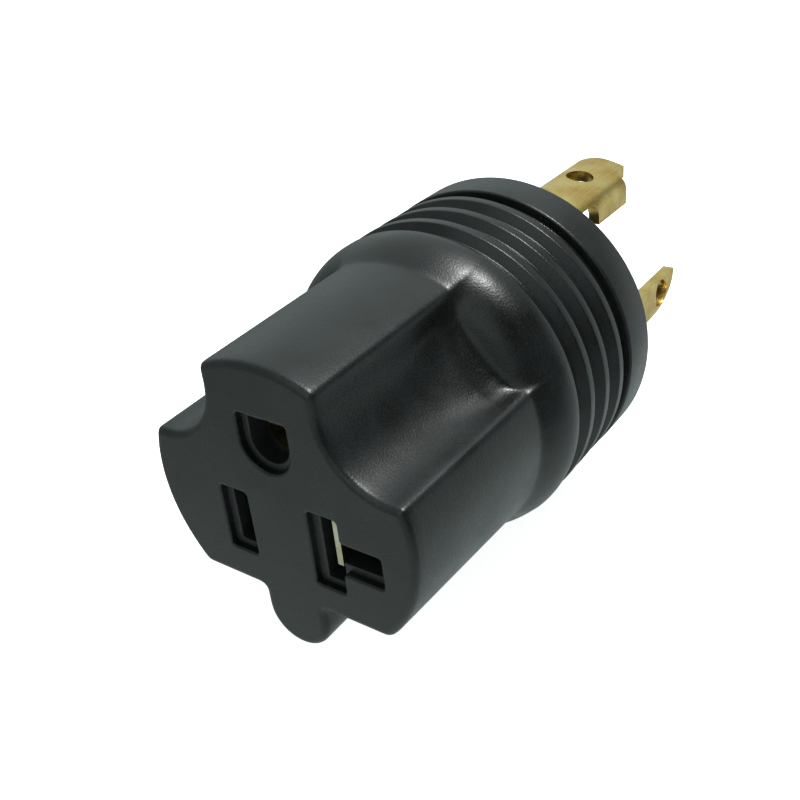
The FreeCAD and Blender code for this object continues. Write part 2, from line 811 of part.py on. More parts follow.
def build():
    """Make every sub-part."""
    name(jacket(), "jacket")
    rooms = fuse(*(chambers() + front_slots()))
    name(cut(block_solid(CORE, BLOCK_BACK), rooms), "socket_block")
    hot_circuit()
    neutral_circuit()
    ground_circuit()
    blades = [side_blade(-1, "hot_blade"), side_blade(1, "neutral_blade"), ground_blade()]
    lead("hot", HOT_X, SLOT_Z, -size("terminal_rad"), Dim.of(0))
    lead("neutral", NEUTRAL_X, SLOT_Z, size("terminal_rad"), Dim.of(0))
    lead("ground", Dim.of(0), PIN_Z, size("gnd_lead_x"), GND_LEAD_Z)
    holes = [rod(size("barrel_rad"), size("barrel_len"), x, BARREL_FRONT, z)
             for x, z in ((HOT_X, SLOT_Z), (NEUTRAL_X, SLOT_Z), (Dim.of(0), PIN_Z))]
    name(cut(block_solid(BLOCK_BACK, COVER_BACK), *holes), "block_cover")
    doc.recompute()
    sunk = ("contact", "blade", "core", "sleeve")
    filled = [part for part in PARTS if part.Label.split("_")[-1] in sunk]
    name(cut(mould_solid(), *filled), "inner_mould")
    carrier = rod(CARRIER_RAD, size("carrier_len"), 0, -size("carrier_len"), 0)
    name(cut(carrier, *blades), "blade_carrier")


def export():
    """Check every sub-part and write it out."""
    doc.recompute()
    for obj in doc.Objects:
        if "Invalid" in obj.State or "Error" in obj.State:
            raise RuntimeError("%s (%s) did not recompute" % (obj.Name, obj.Label))
    os.makedirs("parts", exist_ok=True)
    for part in PARTS:
        shape = part.Shape
        if shape.isNull() or not shape.isValid() or len(shape.Solids) != 1:
            raise RuntimeError("%s is not one sound solid (%d)" % (part.Label, len(shape.Solids)))
        shape.exportStep("parts/%s.step" % part.Label)
        bounds = shape.BoundBox
        print("%-18s %9.1f mm3  x %6.2f %6.2f  y %6.2f %6.2f  z %6.2f %6.2f" % (
            part.Label, shape.Volume, bounds.XMin, bounds.XMax, bounds.YMin, bounds.YMax,
            bounds.ZMin, bounds.ZMax))


build()
export()
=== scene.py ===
import json
import logging
import math
from dataclasses import dataclass
from enum import Enum
from typing import Any, Optional, Sequence

import bmesh
import bpy
import numpy as np
from mathutils import Matrix, Vector

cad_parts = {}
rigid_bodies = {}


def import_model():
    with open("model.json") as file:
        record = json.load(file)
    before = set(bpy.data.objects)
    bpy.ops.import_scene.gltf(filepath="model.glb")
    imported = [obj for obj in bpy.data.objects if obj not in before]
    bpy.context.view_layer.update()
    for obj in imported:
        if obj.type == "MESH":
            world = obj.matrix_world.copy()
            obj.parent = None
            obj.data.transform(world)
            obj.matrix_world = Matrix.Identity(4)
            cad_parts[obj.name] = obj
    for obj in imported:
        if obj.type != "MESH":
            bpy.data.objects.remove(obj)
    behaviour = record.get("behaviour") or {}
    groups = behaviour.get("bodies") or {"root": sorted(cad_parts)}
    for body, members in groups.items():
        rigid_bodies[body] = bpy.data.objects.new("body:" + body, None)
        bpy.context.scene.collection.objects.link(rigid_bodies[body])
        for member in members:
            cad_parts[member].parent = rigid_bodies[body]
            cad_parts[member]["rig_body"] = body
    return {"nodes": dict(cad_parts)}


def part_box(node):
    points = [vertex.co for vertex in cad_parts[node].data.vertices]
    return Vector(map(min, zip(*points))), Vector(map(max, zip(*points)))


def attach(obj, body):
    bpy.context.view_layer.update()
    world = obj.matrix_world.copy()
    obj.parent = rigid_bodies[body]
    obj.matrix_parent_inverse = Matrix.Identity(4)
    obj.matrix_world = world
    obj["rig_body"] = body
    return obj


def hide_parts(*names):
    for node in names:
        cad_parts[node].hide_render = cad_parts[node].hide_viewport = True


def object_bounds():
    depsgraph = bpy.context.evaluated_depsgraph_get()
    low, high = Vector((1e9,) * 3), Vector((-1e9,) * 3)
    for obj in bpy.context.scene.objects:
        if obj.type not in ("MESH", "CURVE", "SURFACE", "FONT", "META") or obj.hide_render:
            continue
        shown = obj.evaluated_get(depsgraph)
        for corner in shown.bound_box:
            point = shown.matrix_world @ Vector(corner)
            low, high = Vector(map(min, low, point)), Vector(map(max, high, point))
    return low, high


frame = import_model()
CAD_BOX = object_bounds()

# Frame: metres, plug axis along +Y, plug seating face at y = 0, socket face towards -Y, ground opening on +Z.
# Sizes in the classes are millimetres, as on a drawing, and MM turns them into metres.

MM = 0.001
# The frame already holds a plain material by each slot's name, so the finished ones end in this.
FINISHED = "_finish"
# Angles in degrees: a CAD edge that turns by more is broken, and a broken edge that turns by more stays sharp.
EDGE_TURN = 32
EDGE_CREASE = 44
log = logging.getLogger("adapter")
Socket = Any
Stops = Sequence[tuple[float, str]]
Loop = list[tuple[float, float]]


# ---------------------------------------------------------------- small tools


def colour(code: str) -> tuple[float, float, float, float]:
    """Turn an sRGB hex colour into the linear one that shaders take.

    Args:
        code: A colour such as "#c8a850".

    Returns:
        Red, green, blue and alpha.
    """

    def linear(part: float) -> float:
        """Undo the sRGB curve for one channel."""
        return part / 12.92 if part <= 0.04045 else ((part + 0.055) / 1.055) ** 2.4

    parts = [linear(int(code[i:i + 2], 16) / 255) for i in (1, 3, 5)]
    return (parts[0], parts[1], parts[2], 1.0)


def per_mm(size: float) -> float:
    """Give the texture scale at which one cell of a pattern is this many millimetres wide."""
    return 1.0 / (size * MM)


def feed(tree: bpy.types.NodeTree, node: bpy.types.Node, inputs: dict) -> None:
    """Give a node's inputs their values and links.

    Args:
        tree: The node's tree.
        node: The node.
        inputs: Input name or number to a plain value or to another node's output socket.
    """
    for key, value in inputs.items():
        socket = node.inputs[key]
        if isinstance(value, bpy.types.NodeSocket):
            tree.links.new(value, socket)
        else:
            socket.default_value = value


def add_node(tree: bpy.types.NodeTree, kind: str, inputs: Optional[dict] = None, stops: Stops = (),
             **settings: Any) -> bpy.types.Node:
    """Add one node to a tree, set it up and feed its inputs.

    Args:
        tree: The shader or geometry tree.
        kind: The node's type name.
        inputs: Input name or number to a plain value or to another node's output socket.
        stops: Place and hex colour of each stop, in order, where the node has a colour ramp.
        settings: Properties of the node itself.

    Returns:
        The new node.
    """
    node = tree.nodes.new(kind)
    for key, value in settings.items():
        setattr(node, key, value)
    if stops:
        elements = node.color_ramp.elements
        while len(elements) < len(stops):
            elements.new(0.5)
        for element, (place, code) in zip(elements, stops):
            element.position = place
            element.color = colour(code)
    feed(tree, node, inputs or {})
    return node


def new_material(name: str) -> tuple[bpy.types.Material, bpy.types.NodeTree, bpy.types.Node]:
    """Make an empty material.

    Args:
        name: Name of the material slot it is for.

    Returns:
        The material, its tree and its Principled shader.
    """
    made = bpy.data.materials.new(name + FINISHED)
    made.use_nodes = True
    tree = made.node_tree
    return made, tree, tree.nodes["Principled BSDF"]


# ---------------------------------------------------------------- finishes


@dataclass(frozen=True)
class MouldedVinyl:
    """Flexible PVC, injection moulded in a spark-eroded steel tool.

    Black with a cool cast and a satin skin. The tool's fine pitted grain breaks a highlight into glitter, and
    the soft skin carries a thin uneven bloom.
    """

    name: str
    body: str = "#0b0c0c"
    bloom: str = "#191d1d"
    roughness: float = 0.34
    grain: float = 0.22
    grain_depth: float = 0.015
    ripple: float = 2.6
    ripple_depth: float = 0.05
    cloud: float = 9.0
    ior: float = 1.53

    def build(self) -> bpy.types.Material:
        """Make the material.

        Returns:
            The material.
        """
        made, tree, shader = new_material(self.name)
        place = add_node(tree, "ShaderNodeTexCoord").outputs["Object"]
        cloud = add_node(tree, "ShaderNodeTexNoise", {
            "Vector": place, "Scale": per_mm(self.cloud), "Detail": 5.0, "Roughness": 0.6}).outputs["Fac"]
        # The real pits are about 0.05 mm: they are drawn four times as wide, so that they show.
        pits = add_node(tree, "ShaderNodeTexVoronoi", {
            "Vector": place, "Scale": per_mm(self.grain), "Randomness": 1.0},
            feature="SMOOTH_F1").outputs["Distance"]
        dust = add_node(tree, "ShaderNodeTexNoise", {
            "Vector": place, "Scale": per_mm(self.grain * 0.9), "Detail": 3.0, "Roughness": 0.7}).outputs["Fac"]
        swell = add_node(tree, "ShaderNodeTexNoise", {
            "Vector": place, "Scale": per_mm(self.ripple), "Detail": 2.0}).outputs["Fac"]
        tint = add_node(tree, "ShaderNodeValToRGB", {"Fac": cloud},
                        ((0.35, self.body), (0.72, self.bloom))).outputs["Color"]
        speck = add_node(tree, "ShaderNodeMapRange", {
            "Value": dust, "From Min": 0.5, "From Max": 0.75, "To Min": 0.0, "To Max": 0.35}).outputs["Result"]
        mixed = add_node(tree, "ShaderNodeMix", {
            0: speck, 6: tint, 7: colour(self.bloom)}, data_type="RGBA").outputs[2]
        patchy = add_node(tree, "ShaderNodeMapRange", {
            "Value": cloud, "From Min": 0.3, "From Max": 0.7,
            "To Min": self.roughness - 0.05, "To Max": self.roughness + 0.08}).outputs["Result"]
        gritty = add_node(tree, "ShaderNodeMapRange", {
            "Value": dust, "From Min": 0.3, "From Max": 0.7, "To Min": -0.08, "To Max": 0.1}).outputs["Result"]
        rough = add_node(tree, "ShaderNodeMath", {0: patchy, 1: gritty}, operation="ADD").outputs[0]
        skin = add_node(tree, "ShaderNodeBump", {
            "Height": swell, "Distance": self.ripple_depth * MM, "Strength": 0.35}).outputs["Normal"]
        pitted = add_node(tree, "ShaderNodeBump", {
            "Height": pits, "Distance": self.grain_depth * MM, "Strength": 1.0,
            "Normal": skin}).outputs["Normal"]
        dusty = add_node(tree, "ShaderNodeBump", {
            "Height": dust, "Distance": self.grain_depth * 0.7 * MM, "Strength": 1.0,
            "Normal": pitted}).outputs["Normal"]
        feed(tree, shader, {"Base Color": mixed, "Roughness": rough, "Normal": dusty, "IOR": self.ior})
        return made


@dataclass(frozen=True)
class MouldedNylon:
    """Glass-filled nylon or PBT, injection moulded in a machined tool.

    Dry and even, a little lighter where short glass fibres lie near the skin, with flow lines along the axis.
    """

    name: str
    body: str
    fibre: str
    roughness: float = 0.48
    fibre_length: float = 1.4
    fibre_width: float = 0.18
    grain: float = 0.25
    ior: float = 1.55

    def build(self) -> bpy.types.Material:
        """Make the material.

        Returns:
            The material.
        """
        made, tree, shader = new_material(self.name)
        place = add_node(tree, "ShaderNodeTexCoord").outputs["Object"]
        thin = per_mm(self.fibre_width)
        along = add_node(tree, "ShaderNodeMapping", {
            "Vector": place, "Scale": (thin, per_mm(self.fibre_length), thin)}).outputs["Vector"]
        fibres = add_node(tree, "ShaderNodeTexNoise", {
            "Vector": along, "Scale": 1.0, "Detail": 3.0}).outputs["Fac"]
        grain = add_node(tree, "ShaderNodeTexNoise", {
            "Vector": place, "Scale": per_mm(self.grain), "Detail": 4.0}).outputs["Fac"]
        tint = add_node(tree, "ShaderNodeValToRGB", {"Fac": fibres},
                        ((0.45, self.body), (0.85, self.fibre))).outputs["Color"]
        rough = add_node(tree, "ShaderNodeMapRange", {
            "Value": grain, "To Min": self.roughness - 0.1, "To Max": self.roughness + 0.12}).outputs["Result"]
        flow = add_node(tree, "ShaderNodeBump", {
            "Height": fibres, "Distance": 0.01 * MM, "Strength": 0.5}).outputs["Normal"]
        skin = add_node(tree, "ShaderNodeBump", {
            "Height": grain, "Distance": 0.012 * MM, "Strength": 0.8, "Normal": flow}).outputs["Normal"]
        feed(tree, shader, {"Base Color": tint, "Roughness": rough, "Normal": skin, "IOR": self.ior})
        return made


@dataclass(frozen=True)
class StampedMetal:
    """Strip metal, cold rolled, then blanked and formed in a press.

    Rolling leaves hairlines along the strip, tumbling after the press leaves a fine satin, and handling leaves
    faint warm or dull patches.
    """

    name: str
    bright: str
    body: str
    stained: str
    roughness: float = 0.27
    hairline: float = 0.14
    patch: float = 5.0
    hairline_length: float = 6.0
    satin: float = 0.3

    def build(self) -> bpy.types.Material:
        """Make the material.

        Returns:
            The material.
        """
        made, tree, shader = new_material(self.name)
        place = add_node(tree, "ShaderNodeTexCoord").outputs["Object"]
        fine = per_mm(self.hairline)
        along = add_node(tree, "ShaderNodeMapping", {
            "Vector": place, "Scale": (fine, per_mm(self.hairline_length), fine)}).outputs["Vector"]
        lines = add_node(tree, "ShaderNodeTexNoise", {
            "Vector": along, "Scale": 1.0, "Detail": 2.0}).outputs["Fac"]
        patches = add_node(tree, "ShaderNodeTexNoise", {
            "Vector": place, "Scale": per_mm(self.patch), "Detail": 4.0, "Roughness": 0.6}).outputs["Fac"]
        satin = add_node(tree, "ShaderNodeTexNoise", {
            "Vector": place, "Scale": per_mm(self.satin), "Detail": 3.0}).outputs["Fac"]
        base = add_node(tree, "ShaderNodeValToRGB", {"Fac": patches}, (
            (0.3, self.bright), (0.52, self.body), (0.75, self.stained))).outputs["Color"]
        streak = add_node(tree, "ShaderNodeMapRange", {
            "Value": lines, "From Min": 0.4, "From Max": 0.8, "To Min": 0.0, "To Max": 0.5}).outputs["Result"]
        tint = add_node(tree, "ShaderNodeMix", {
            0: streak, 6: base, 7: colour(self.bright)}, data_type="RGBA").outputs[2]
        patchy = add_node(tree, "ShaderNodeMapRange", {
            "Value": patches, "From Min": 0.3, "From Max": 0.75,
            "To Min": self.roughness - 0.06, "To Max": self.roughness + 0.12}).outputs["Result"]
        tumbled = add_node(tree, "ShaderNodeMapRange", {
            "Value": satin, "From Min": 0.3, "From Max": 0.7,
            "To Min": -0.06, "To Max": 0.08}).outputs["Result"]
        rough = add_node(tree, "ShaderNodeMath", {0: patchy, 1: tumbled}, operation="ADD").outputs[0]
        rolled = add_node(tree, "ShaderNodeBump", {
            "Height": lines, "Distance": 0.006 * MM, "Strength": 0.8}).outputs["Normal"]
        skin = add_node(tree, "ShaderNodeBump", {
            "Height": satin, "Distance": 0.012 * MM, "Strength": 0.7, "Normal": rolled}).outputs["Normal"]
        feed(tree, shader, {"Base Color": tint, "Metallic": 1.0, "Roughness": rough, "Normal": skin})
        return made


@dataclass(frozen=True)
class WireInsulation:
    """Soft PVC extruded over a stranded lead: glossy, slightly wavy, with a little dust on it."""

    name: str
    body: str
    worn: str
    roughness: float = 0.32
    wave: float = 1.8
    speck: float = 0.2

    def build(self) -> bpy.types.Material:
        """Make the material.

        Returns:
            The material.
        """
        made, tree, shader = new_material(self.name)
        place = add_node(tree, "ShaderNodeTexCoord").outputs["Object"]
        waves = add_node(tree, "ShaderNodeTexNoise", {
            "Vector": place, "Scale": per_mm(self.wave), "Detail": 2.0}).outputs["Fac"]
        dust = add_node(tree, "ShaderNodeTexNoise", {
            "Vector": place, "Scale": per_mm(self.speck), "Detail": 3.0}).outputs["Fac"]
        tint = add_node(tree, "ShaderNodeValToRGB", {"Fac": dust},
                        ((0.4, self.body), (0.8, self.worn))).outputs["Color"]
        rough = add_node(tree, "ShaderNodeMapRange", {
            "Value": dust, "From Min": 0.3, "From Max": 0.8,
            "To Min": self.roughness, "To Max": self.roughness + 0.2}).outputs["Result"]
        skin = add_node(tree, "ShaderNodeBump", {
            "Height": waves, "Distance": 0.03 * MM, "Strength": 0.6}).outputs["Normal"]
        feed(tree, shader, {"Base Color": tint, "Roughness": rough, "Normal": skin})
        return made


@dataclass(frozen=True)
class StudioPaper:
    """Seamless white background paper, matt with a faint tooth, lit from below as on a light table."""

    name: str = "background_paper"
    body: str = "#fbfbfb"
    glow: float = 0.97
    tooth: float = 0.8

    def build(self) -> bpy.types.Material:
        """Make the material.

        Returns:
            The material.
        """
        made, tree, shader = new_material(self.name)
        place = add_node(tree, "ShaderNodeTexCoord").outputs["Object"]
        tooth = add_node(tree, "ShaderNodeTexNoise", {
            "Vector": place, "Scale": per_mm(self.tooth), "Detail": 3.0}).outputs["Fac"]
        skin = add_node(tree, "ShaderNodeBump", {
            "Height": tooth, "Distance": 0.02 * MM, "Strength": 0.2}).outputs["Normal"]
        feed(tree, shader, {"Base Color": colour(self.body), "Roughness": 0.9, "Normal": skin,
                            "Emission Color": colour(self.body), "Emission Strength": self.glow})
        return made


class Finish(Enum):
    """The finishes of this adapter, each by the name of its material slot."""

    JACKET = MouldedVinyl("jacket_vinyl")
    CORE = MouldedNylon("core_plastic", "#17191a", "#2a2d2e", 0.5)
    INNER = MouldedNylon("mould_plastic", "#24282a", "#34393b", 0.55)
    CARRIER = MouldedNylon("carrier_plastic", "#141718", "#222627", 0.46)
    CONTACT = StampedMetal("contact_metal", "#f3efe0", "#d6cda9", "#a9976a", 0.3)
    BLADE = StampedMetal("blade_brass", "#e8cf8a", "#cdab5c", "#a98540", 0.3)
    COPPER = StampedMetal("copper", "#e8a37c", "#b9693f", "#7e4226", 0.3, 0.08, 2.0)
    BLACK = WireInsulation("sleeve_black", "#141516", "#2b2d2e")
    WHITE = WireInsulation("sleeve_white", "#e4e2da", "#c9c6ba")
    GREEN = WireInsulation("sleeve_green", "#1f7a3a", "#2f8a4b")

    @property
    def slot(self) -> str:
        """Name of the record's material slot."""
        return self.value.name

    def material(self) -> bpy.types.Material:
        """Give the material, made once."""
        return bpy.data.materials.get(self.slot + FINISHED) or self.value.build()


# ---------------------------------------------------------------- meshes


def body_of_node(node: str) -> str:
    """Name of the CAD body that a CAD node rides on."""
    return frame["nodes"][node]["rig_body"]


def finish_piece(obj: bpy.types.Object, finish: Finish, nodes: Sequence[str]) -> bpy.types.Object:
    """Dress a piece and let it stand for its CAD nodes.

    Args:
        obj: The piece, in place in the frame.
        finish: Its finish.
        nodes: The CAD nodes that it replaces, all on one body.

    Returns:
        The piece.
    """
    obj.data.materials.clear()
    obj.data.materials.append(finish.material())
    for node in nodes:
        frame["nodes"][node].material_slots[0].material = finish.material()
    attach(obj, body_of_node(nodes[0]))
    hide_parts(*nodes)
    log.info("%-18s %6d faces, %s", obj.name, len(obj.data.polygons), finish.slot)
    return obj


def mesh_object(name: str, mesh: bpy.types.Mesh) -> bpy.types.Object:
    """Put a mesh in the scene as an object at the origin."""
    obj = bpy.data.objects.new(name, mesh)
    bpy.context.scene.collection.objects.link(obj)
    return obj


def shade(bm: bmesh.types.BMesh, crease: float) -> None:
    """Shade smooth, with an edge sharp where its faces turn by more than an angle.

    Args:
        bm: The mesh.
        crease: The angle in degrees.
    """
    for face in bm.faces:
        face.smooth = True
    for edge in bm.edges:
        edge.smooth = len(edge.link_faces) == 2 and edge.calc_face_angle(math.pi) < math.radians(crease)


def baked(obj: bpy.types.Object, name: str) -> bpy.types.Object:
    """Turn an object with live modifiers into a plain mesh piece and remove the source.

    Args:
        obj: The object with modifiers.
        name: Name of the plain piece.

    Returns:
        The plain piece.
    """
    graph = bpy.context.evaluated_depsgraph_get()
    mesh = bpy.data.meshes.new_from_object(obj.evaluated_get(graph))
    bpy.data.objects.remove(obj)
    mesh.name = name
    return mesh_object(name, mesh)


def edged_copy(node: str, width: float, name: str) -> bpy.types.Object:
    """Copy a CAD node as a clean mesh with its edges broken, as a press, a tool or tumbling leaves them.

    Args:
        node: The CAD node.
        width: Width of the broken edge in millimetres.
        name: Name of the piece.

    Returns:
        The piece, not yet dressed.
    """
    mesh = bpy.data.meshes.new(name)
    bm = bmesh.new()
    bm.from_mesh(frame["nodes"][node].data)
    bmesh.ops.remove_doubles(bm, verts=bm.verts, dist=1e-7)
    bmesh.ops.dissolve_limit(bm, angle_limit=math.radians(0.5), verts=bm.verts, edges=bm.edges)
    turned = [edge for edge in bm.edges
              if len(edge.link_faces) == 2 and edge.calc_face_angle(0.0) > math.radians(EDGE_TURN)]
    bmesh.ops.bevel(bm, geom=turned, offset=width * MM, segments=2, profile=0.5, affect="EDGES",
                    clamp_overlap=True)
    bmesh.ops.dissolve_degenerate(bm, dist=1e-7, edges=bm.edges)
    shade(bm, EDGE_CREASE)
    bm.to_mesh(mesh)
    bm.free()
    obj = mesh_object(name + "_edges", mesh)
    level = obj.modifiers.new("even_faces", "WEIGHTED_NORMAL")
    level.keep_sharp = True
    level.weight = 100
    return baked(obj, name)


def fillet(points: Sequence[tuple[float, float, float]], closed: bool, steps: int = 4) -> Loop:
    """Round the corners of a polyline.

    Args:
        points: Two coordinates and a corner radius for each corner.
        closed: Whether the last corner joins the first.
        steps: Segments of each rounding.

    Returns:
        The points of the rounded line.
    """
    line: Loop = []
    count = len(points)
    for index, (x, y, radius) in enumerate(points):
        here = Vector((x, y))
        if radius <= 0 or (not closed and index in (0, count - 1)):
            line.append((x, y))
            continue
        before = (Vector(points[index - 1][:2]) - here).normalized()
        after = (Vector(points[(index + 1) % count][:2]) - here).normalized()
        half = before.angle(after) / 2
        centre = here + (before + after).normalized() * (radius / math.sin(half))
        start = here + before * (radius / math.tan(half)) - centre
        stop = here + after * (radius / math.tan(half)) - centre
        turn = start.angle_signed(stop)
        for step in range(steps + 1):
            spoke = start.copy()
            spoke.rotate(Matrix.Rotation(-turn * step / steps, 2))
            line.append((centre.x + spoke.x, centre.y + spoke.y))
    return line


def sideways(loop: np.ndarray, distance: float) -> np.ndarray:
    """Move a closed loop sideways in its plane.

    Args:
        loop: The loop's points, one row each.
        distance: How far each point goes to the right of the way travelled.

    Returns:
        The moved points.
    """
    along = np.roll(loop, -1, axis=0) - np.roll(loop, 1, axis=0)
    along /= np.linalg.norm(along, axis=1)[:, None]
    return loop + distance * np.stack([along[:, 1], -along[:, 0]], axis=1)


class LoopMesh:
    """A mesh put together from closed loops across the plug axis."""

    def __init__(self) -> None:
        """Start with nothing."""
        self.bm = bmesh.new()

    def ring(self, loop: np.ndarray, y: float) -> list[bmesh.types.BMVert]:
        """Add one loop of (x, z) points at a place along the axis, in millimetres."""
        return [self.bm.verts.new((x * MM, y * MM, z * MM)) for x, z in loop]

    def bridge(self, first: list[bmesh.types.BMVert], second: list[bmesh.types.BMVert]) -> None:
        """Join two loops of the same length with four-sided faces."""
        for index in range(len(first)):
            self.bm.faces.new((first[index - 1], first[index], second[index], second[index - 1]))

    def skin(self, rings: Sequence[list[bmesh.types.BMVert]]) -> None:
        """Join each loop to the next."""
        for first, second in zip(rings, rings[1:]):
            self.bridge(first, second)

    def plate(self, *rings: list[bmesh.types.BMVert]) -> None:
        """Fill the flat region between an outer loop and the loops of its openings.

        Args:
            rings: The outer loop and then the loop of each opening.
        """
        edges = []
        for ring in rings:
            for index in range(len(ring)):
                edge = self.bm.edges.get((ring[index - 1], ring[index]))
                edges.append(edge or self.bm.edges.new((ring[index - 1], ring[index])))
        bmesh.ops.triangle_fill(self.bm, use_beauty=True, edges=edges, normal=(0, -1, 0))

    def finish(self, name: str, crease: float) -> bpy.types.Object:
        """Weld, turn the faces outwards and hand the mesh over.

        Args:
            name: Name of the mesh and its object.
            crease: Angle in degrees above which an edge stays sharp.

        Returns:
            The mesh as an object.
        """
        bmesh.ops.remove_doubles(self.bm, verts=self.bm.verts, dist=1e-7)
        bmesh.ops.recalc_face_normals(self.bm, faces=self.bm.faces)
        shade(self.bm, crease)
        mesh = bpy.data.meshes.new(name)
        self.bm.to_mesh(mesh)
        self.bm.free()
        return mesh_object(name, mesh)


# ---------------------------------------------------------------- geometry nodes


def geometry_tree(name: str, inputs: Sequence[tuple[str, str]]) -> tuple[bpy.types.NodeTree, bpy.types.Node,
                                                                        bpy.types.Node]:
    """Start a Geometry Nodes tree with named inputs.

    Args:
        name: The tree's name.
        inputs: Name and socket type of each input after the geometry.

    Returns:
        The tree, its input node and its output node.
    """
    tree = bpy.data.node_groups.new(name, "GeometryNodeTree")
    tree.interface.new_socket("Geometry", in_out="INPUT", socket_type="NodeSocketGeometry")
    for label, kind in inputs:
        tree.interface.new_socket(label, in_out="INPUT", socket_type=kind)
    tree.interface.new_socket("Geometry", in_out="OUTPUT", socket_type="NodeSocketGeometry")
    return tree, add_node(tree, "NodeGroupInput"), add_node(tree, "NodeGroupOutput")


def run_tree(obj: bpy.types.Object, tree: bpy.types.NodeTree, values: dict[str, Any],
             name: str) -> bpy.types.Object:
    """Run a tree on an object and keep the result as a plain mesh piece.

    Args:
        obj: The object that carries the starting geometry. It is removed.
        tree: The tree.
        values: Input name to value.
        name: Name of the plain piece.

    Returns:
        The plain piece.
    """
    modifier = obj.modifiers.new(tree.name, "NODES")
    modifier.node_group = tree
    for item in tree.interface.items_tree:
        if item.in_out == "INPUT" and item.name in values:
            modifier[item.identifier] = values[item.name]
    return baked(obj, name)


def rib_tree() -> bpy.types.NodeTree:
    """Repeat one grip rib along the plug axis and weld the copies edge to edge.

    Returns:
        The tree.
    """
    tree, given, result = geometry_tree("grip_ribs", (
        ("Rib Count", "NodeSocketInt"), ("Pitch", "NodeSocketFloat"),
        ("Weld Distance", "NodeSocketFloat"), ("Finish", "NodeSocketMaterial")))
    step = add_node(tree, "ShaderNodeCombineXYZ", {"Y": given.outputs["Pitch"]})
    places = add_node(tree, "GeometryNodeMeshLine", {
        "Count": given.outputs["Rib Count"], "Offset": step.outputs[0]})
    copies = add_node(tree, "GeometryNodeInstanceOnPoints", {
        "Points": places.outputs[0], "Instance": given.outputs["Geometry"]})
    real = add_node(tree, "GeometryNodeRealizeInstances", {"Geometry": copies.outputs[0]})
    welded = add_node(tree, "GeometryNodeMergeByDistance", {
        "Geometry": real.outputs[0], "Distance": given.outputs["Weld Distance"]})
    dressed = add_node(tree, "GeometryNodeSetMaterial", {
        "Geometry": welded.outputs[0], "Material": given.outputs["Finish"]})
    tree.links.new(dressed.outputs[0], result.inputs[0])
    return tree


def strand_tree() -> bpy.types.NodeTree:
    """Lay a ring of twisted strands along a path.

    Returns:
        The tree.
    """
    tree, given, result = geometry_tree("laid_strands", (
        ("Strands", "NodeSocketInt"), ("Lay Radius", "NodeSocketFloat"), ("Strand Radius", "NodeSocketFloat"),
        ("Twist", "NodeSocketFloat"), ("Step", "NodeSocketFloat"), ("Sides", "NodeSocketInt"),
        ("Finish", "NodeSocketMaterial")))
    even = add_node(tree, "GeometryNodeResampleCurve", {
        "Curve": given.outputs["Geometry"], "Length": given.outputs["Step"]}, mode="LENGTH")
    copies = add_node(tree, "GeometryNodeDuplicateElements", {
        "Geometry": even.outputs[0], "Amount": given.outputs["Strands"]}, domain="SPLINE")
    share = add_node(tree, "ShaderNodeMath", {
        0: copies.outputs["Duplicate Index"], 1: given.outputs["Strands"]}, operation="DIVIDE")
    turn = add_node(tree, "ShaderNodeMath", {0: share.outputs[0], 1: math.tau}, operation="MULTIPLY")
    run = add_node(tree, "GeometryNodeSplineParameter").outputs["Length"]
    angle = add_node(tree, "ShaderNodeMath", {
        0: run, 1: given.outputs["Twist"], 2: turn.outputs[0]}, operation="MULTIPLY_ADD")
    normal = add_node(tree, "GeometryNodeInputNormal").outputs[0]
    tangent = add_node(tree, "GeometryNodeInputTangent").outputs[0]
    across = add_node(tree, "ShaderNodeVectorMath", {0: tangent, 1: normal}, operation="CROSS_PRODUCT")
    reach = {}
    for kind, axis in (("COSINE", normal), ("SINE", across.outputs[0])):
        wave = add_node(tree, "ShaderNodeMath", {0: angle.outputs[0]}, operation=kind)
        far = add_node(tree, "ShaderNodeMath", {
            0: wave.outputs[0], 1: given.outputs["Lay Radius"]}, operation="MULTIPLY")
        reach[kind] = add_node(tree, "ShaderNodeVectorMath", {
            0: axis, "Scale": far.outputs[0]}, operation="SCALE")
    offset = add_node(tree, "ShaderNodeVectorMath", {
        0: reach["COSINE"].outputs[0], 1: reach["SINE"].outputs[0]}, operation="ADD")
    laid = add_node(tree, "GeometryNodeSetPosition", {
        "Geometry": copies.outputs["Geometry"], "Offset": offset.outputs[0]})
    profile = add_node(tree, "GeometryNodeCurvePrimitiveCircle", {
        "Resolution": given.outputs["Sides"], "Radius": given.outputs["Strand Radius"]})
    tubes = add_node(tree, "GeometryNodeCurveToMesh", {
        "Curve": laid.outputs[0], "Profile Curve": profile.outputs["Curve"], "Fill Caps": True})
    real = add_node(tree, "GeometryNodeRealizeInstances", {"Geometry": tubes.outputs[0]})
    dressed = add_node(tree, "GeometryNodeSetMaterial", {
        "Geometry": real.outputs[0], "Material": given.outputs["Finish"]})
    tree.links.new(dressed.outputs[0], result.inputs[0])
    return tree


# ---------------------------------------------------------------- sub-assemblies


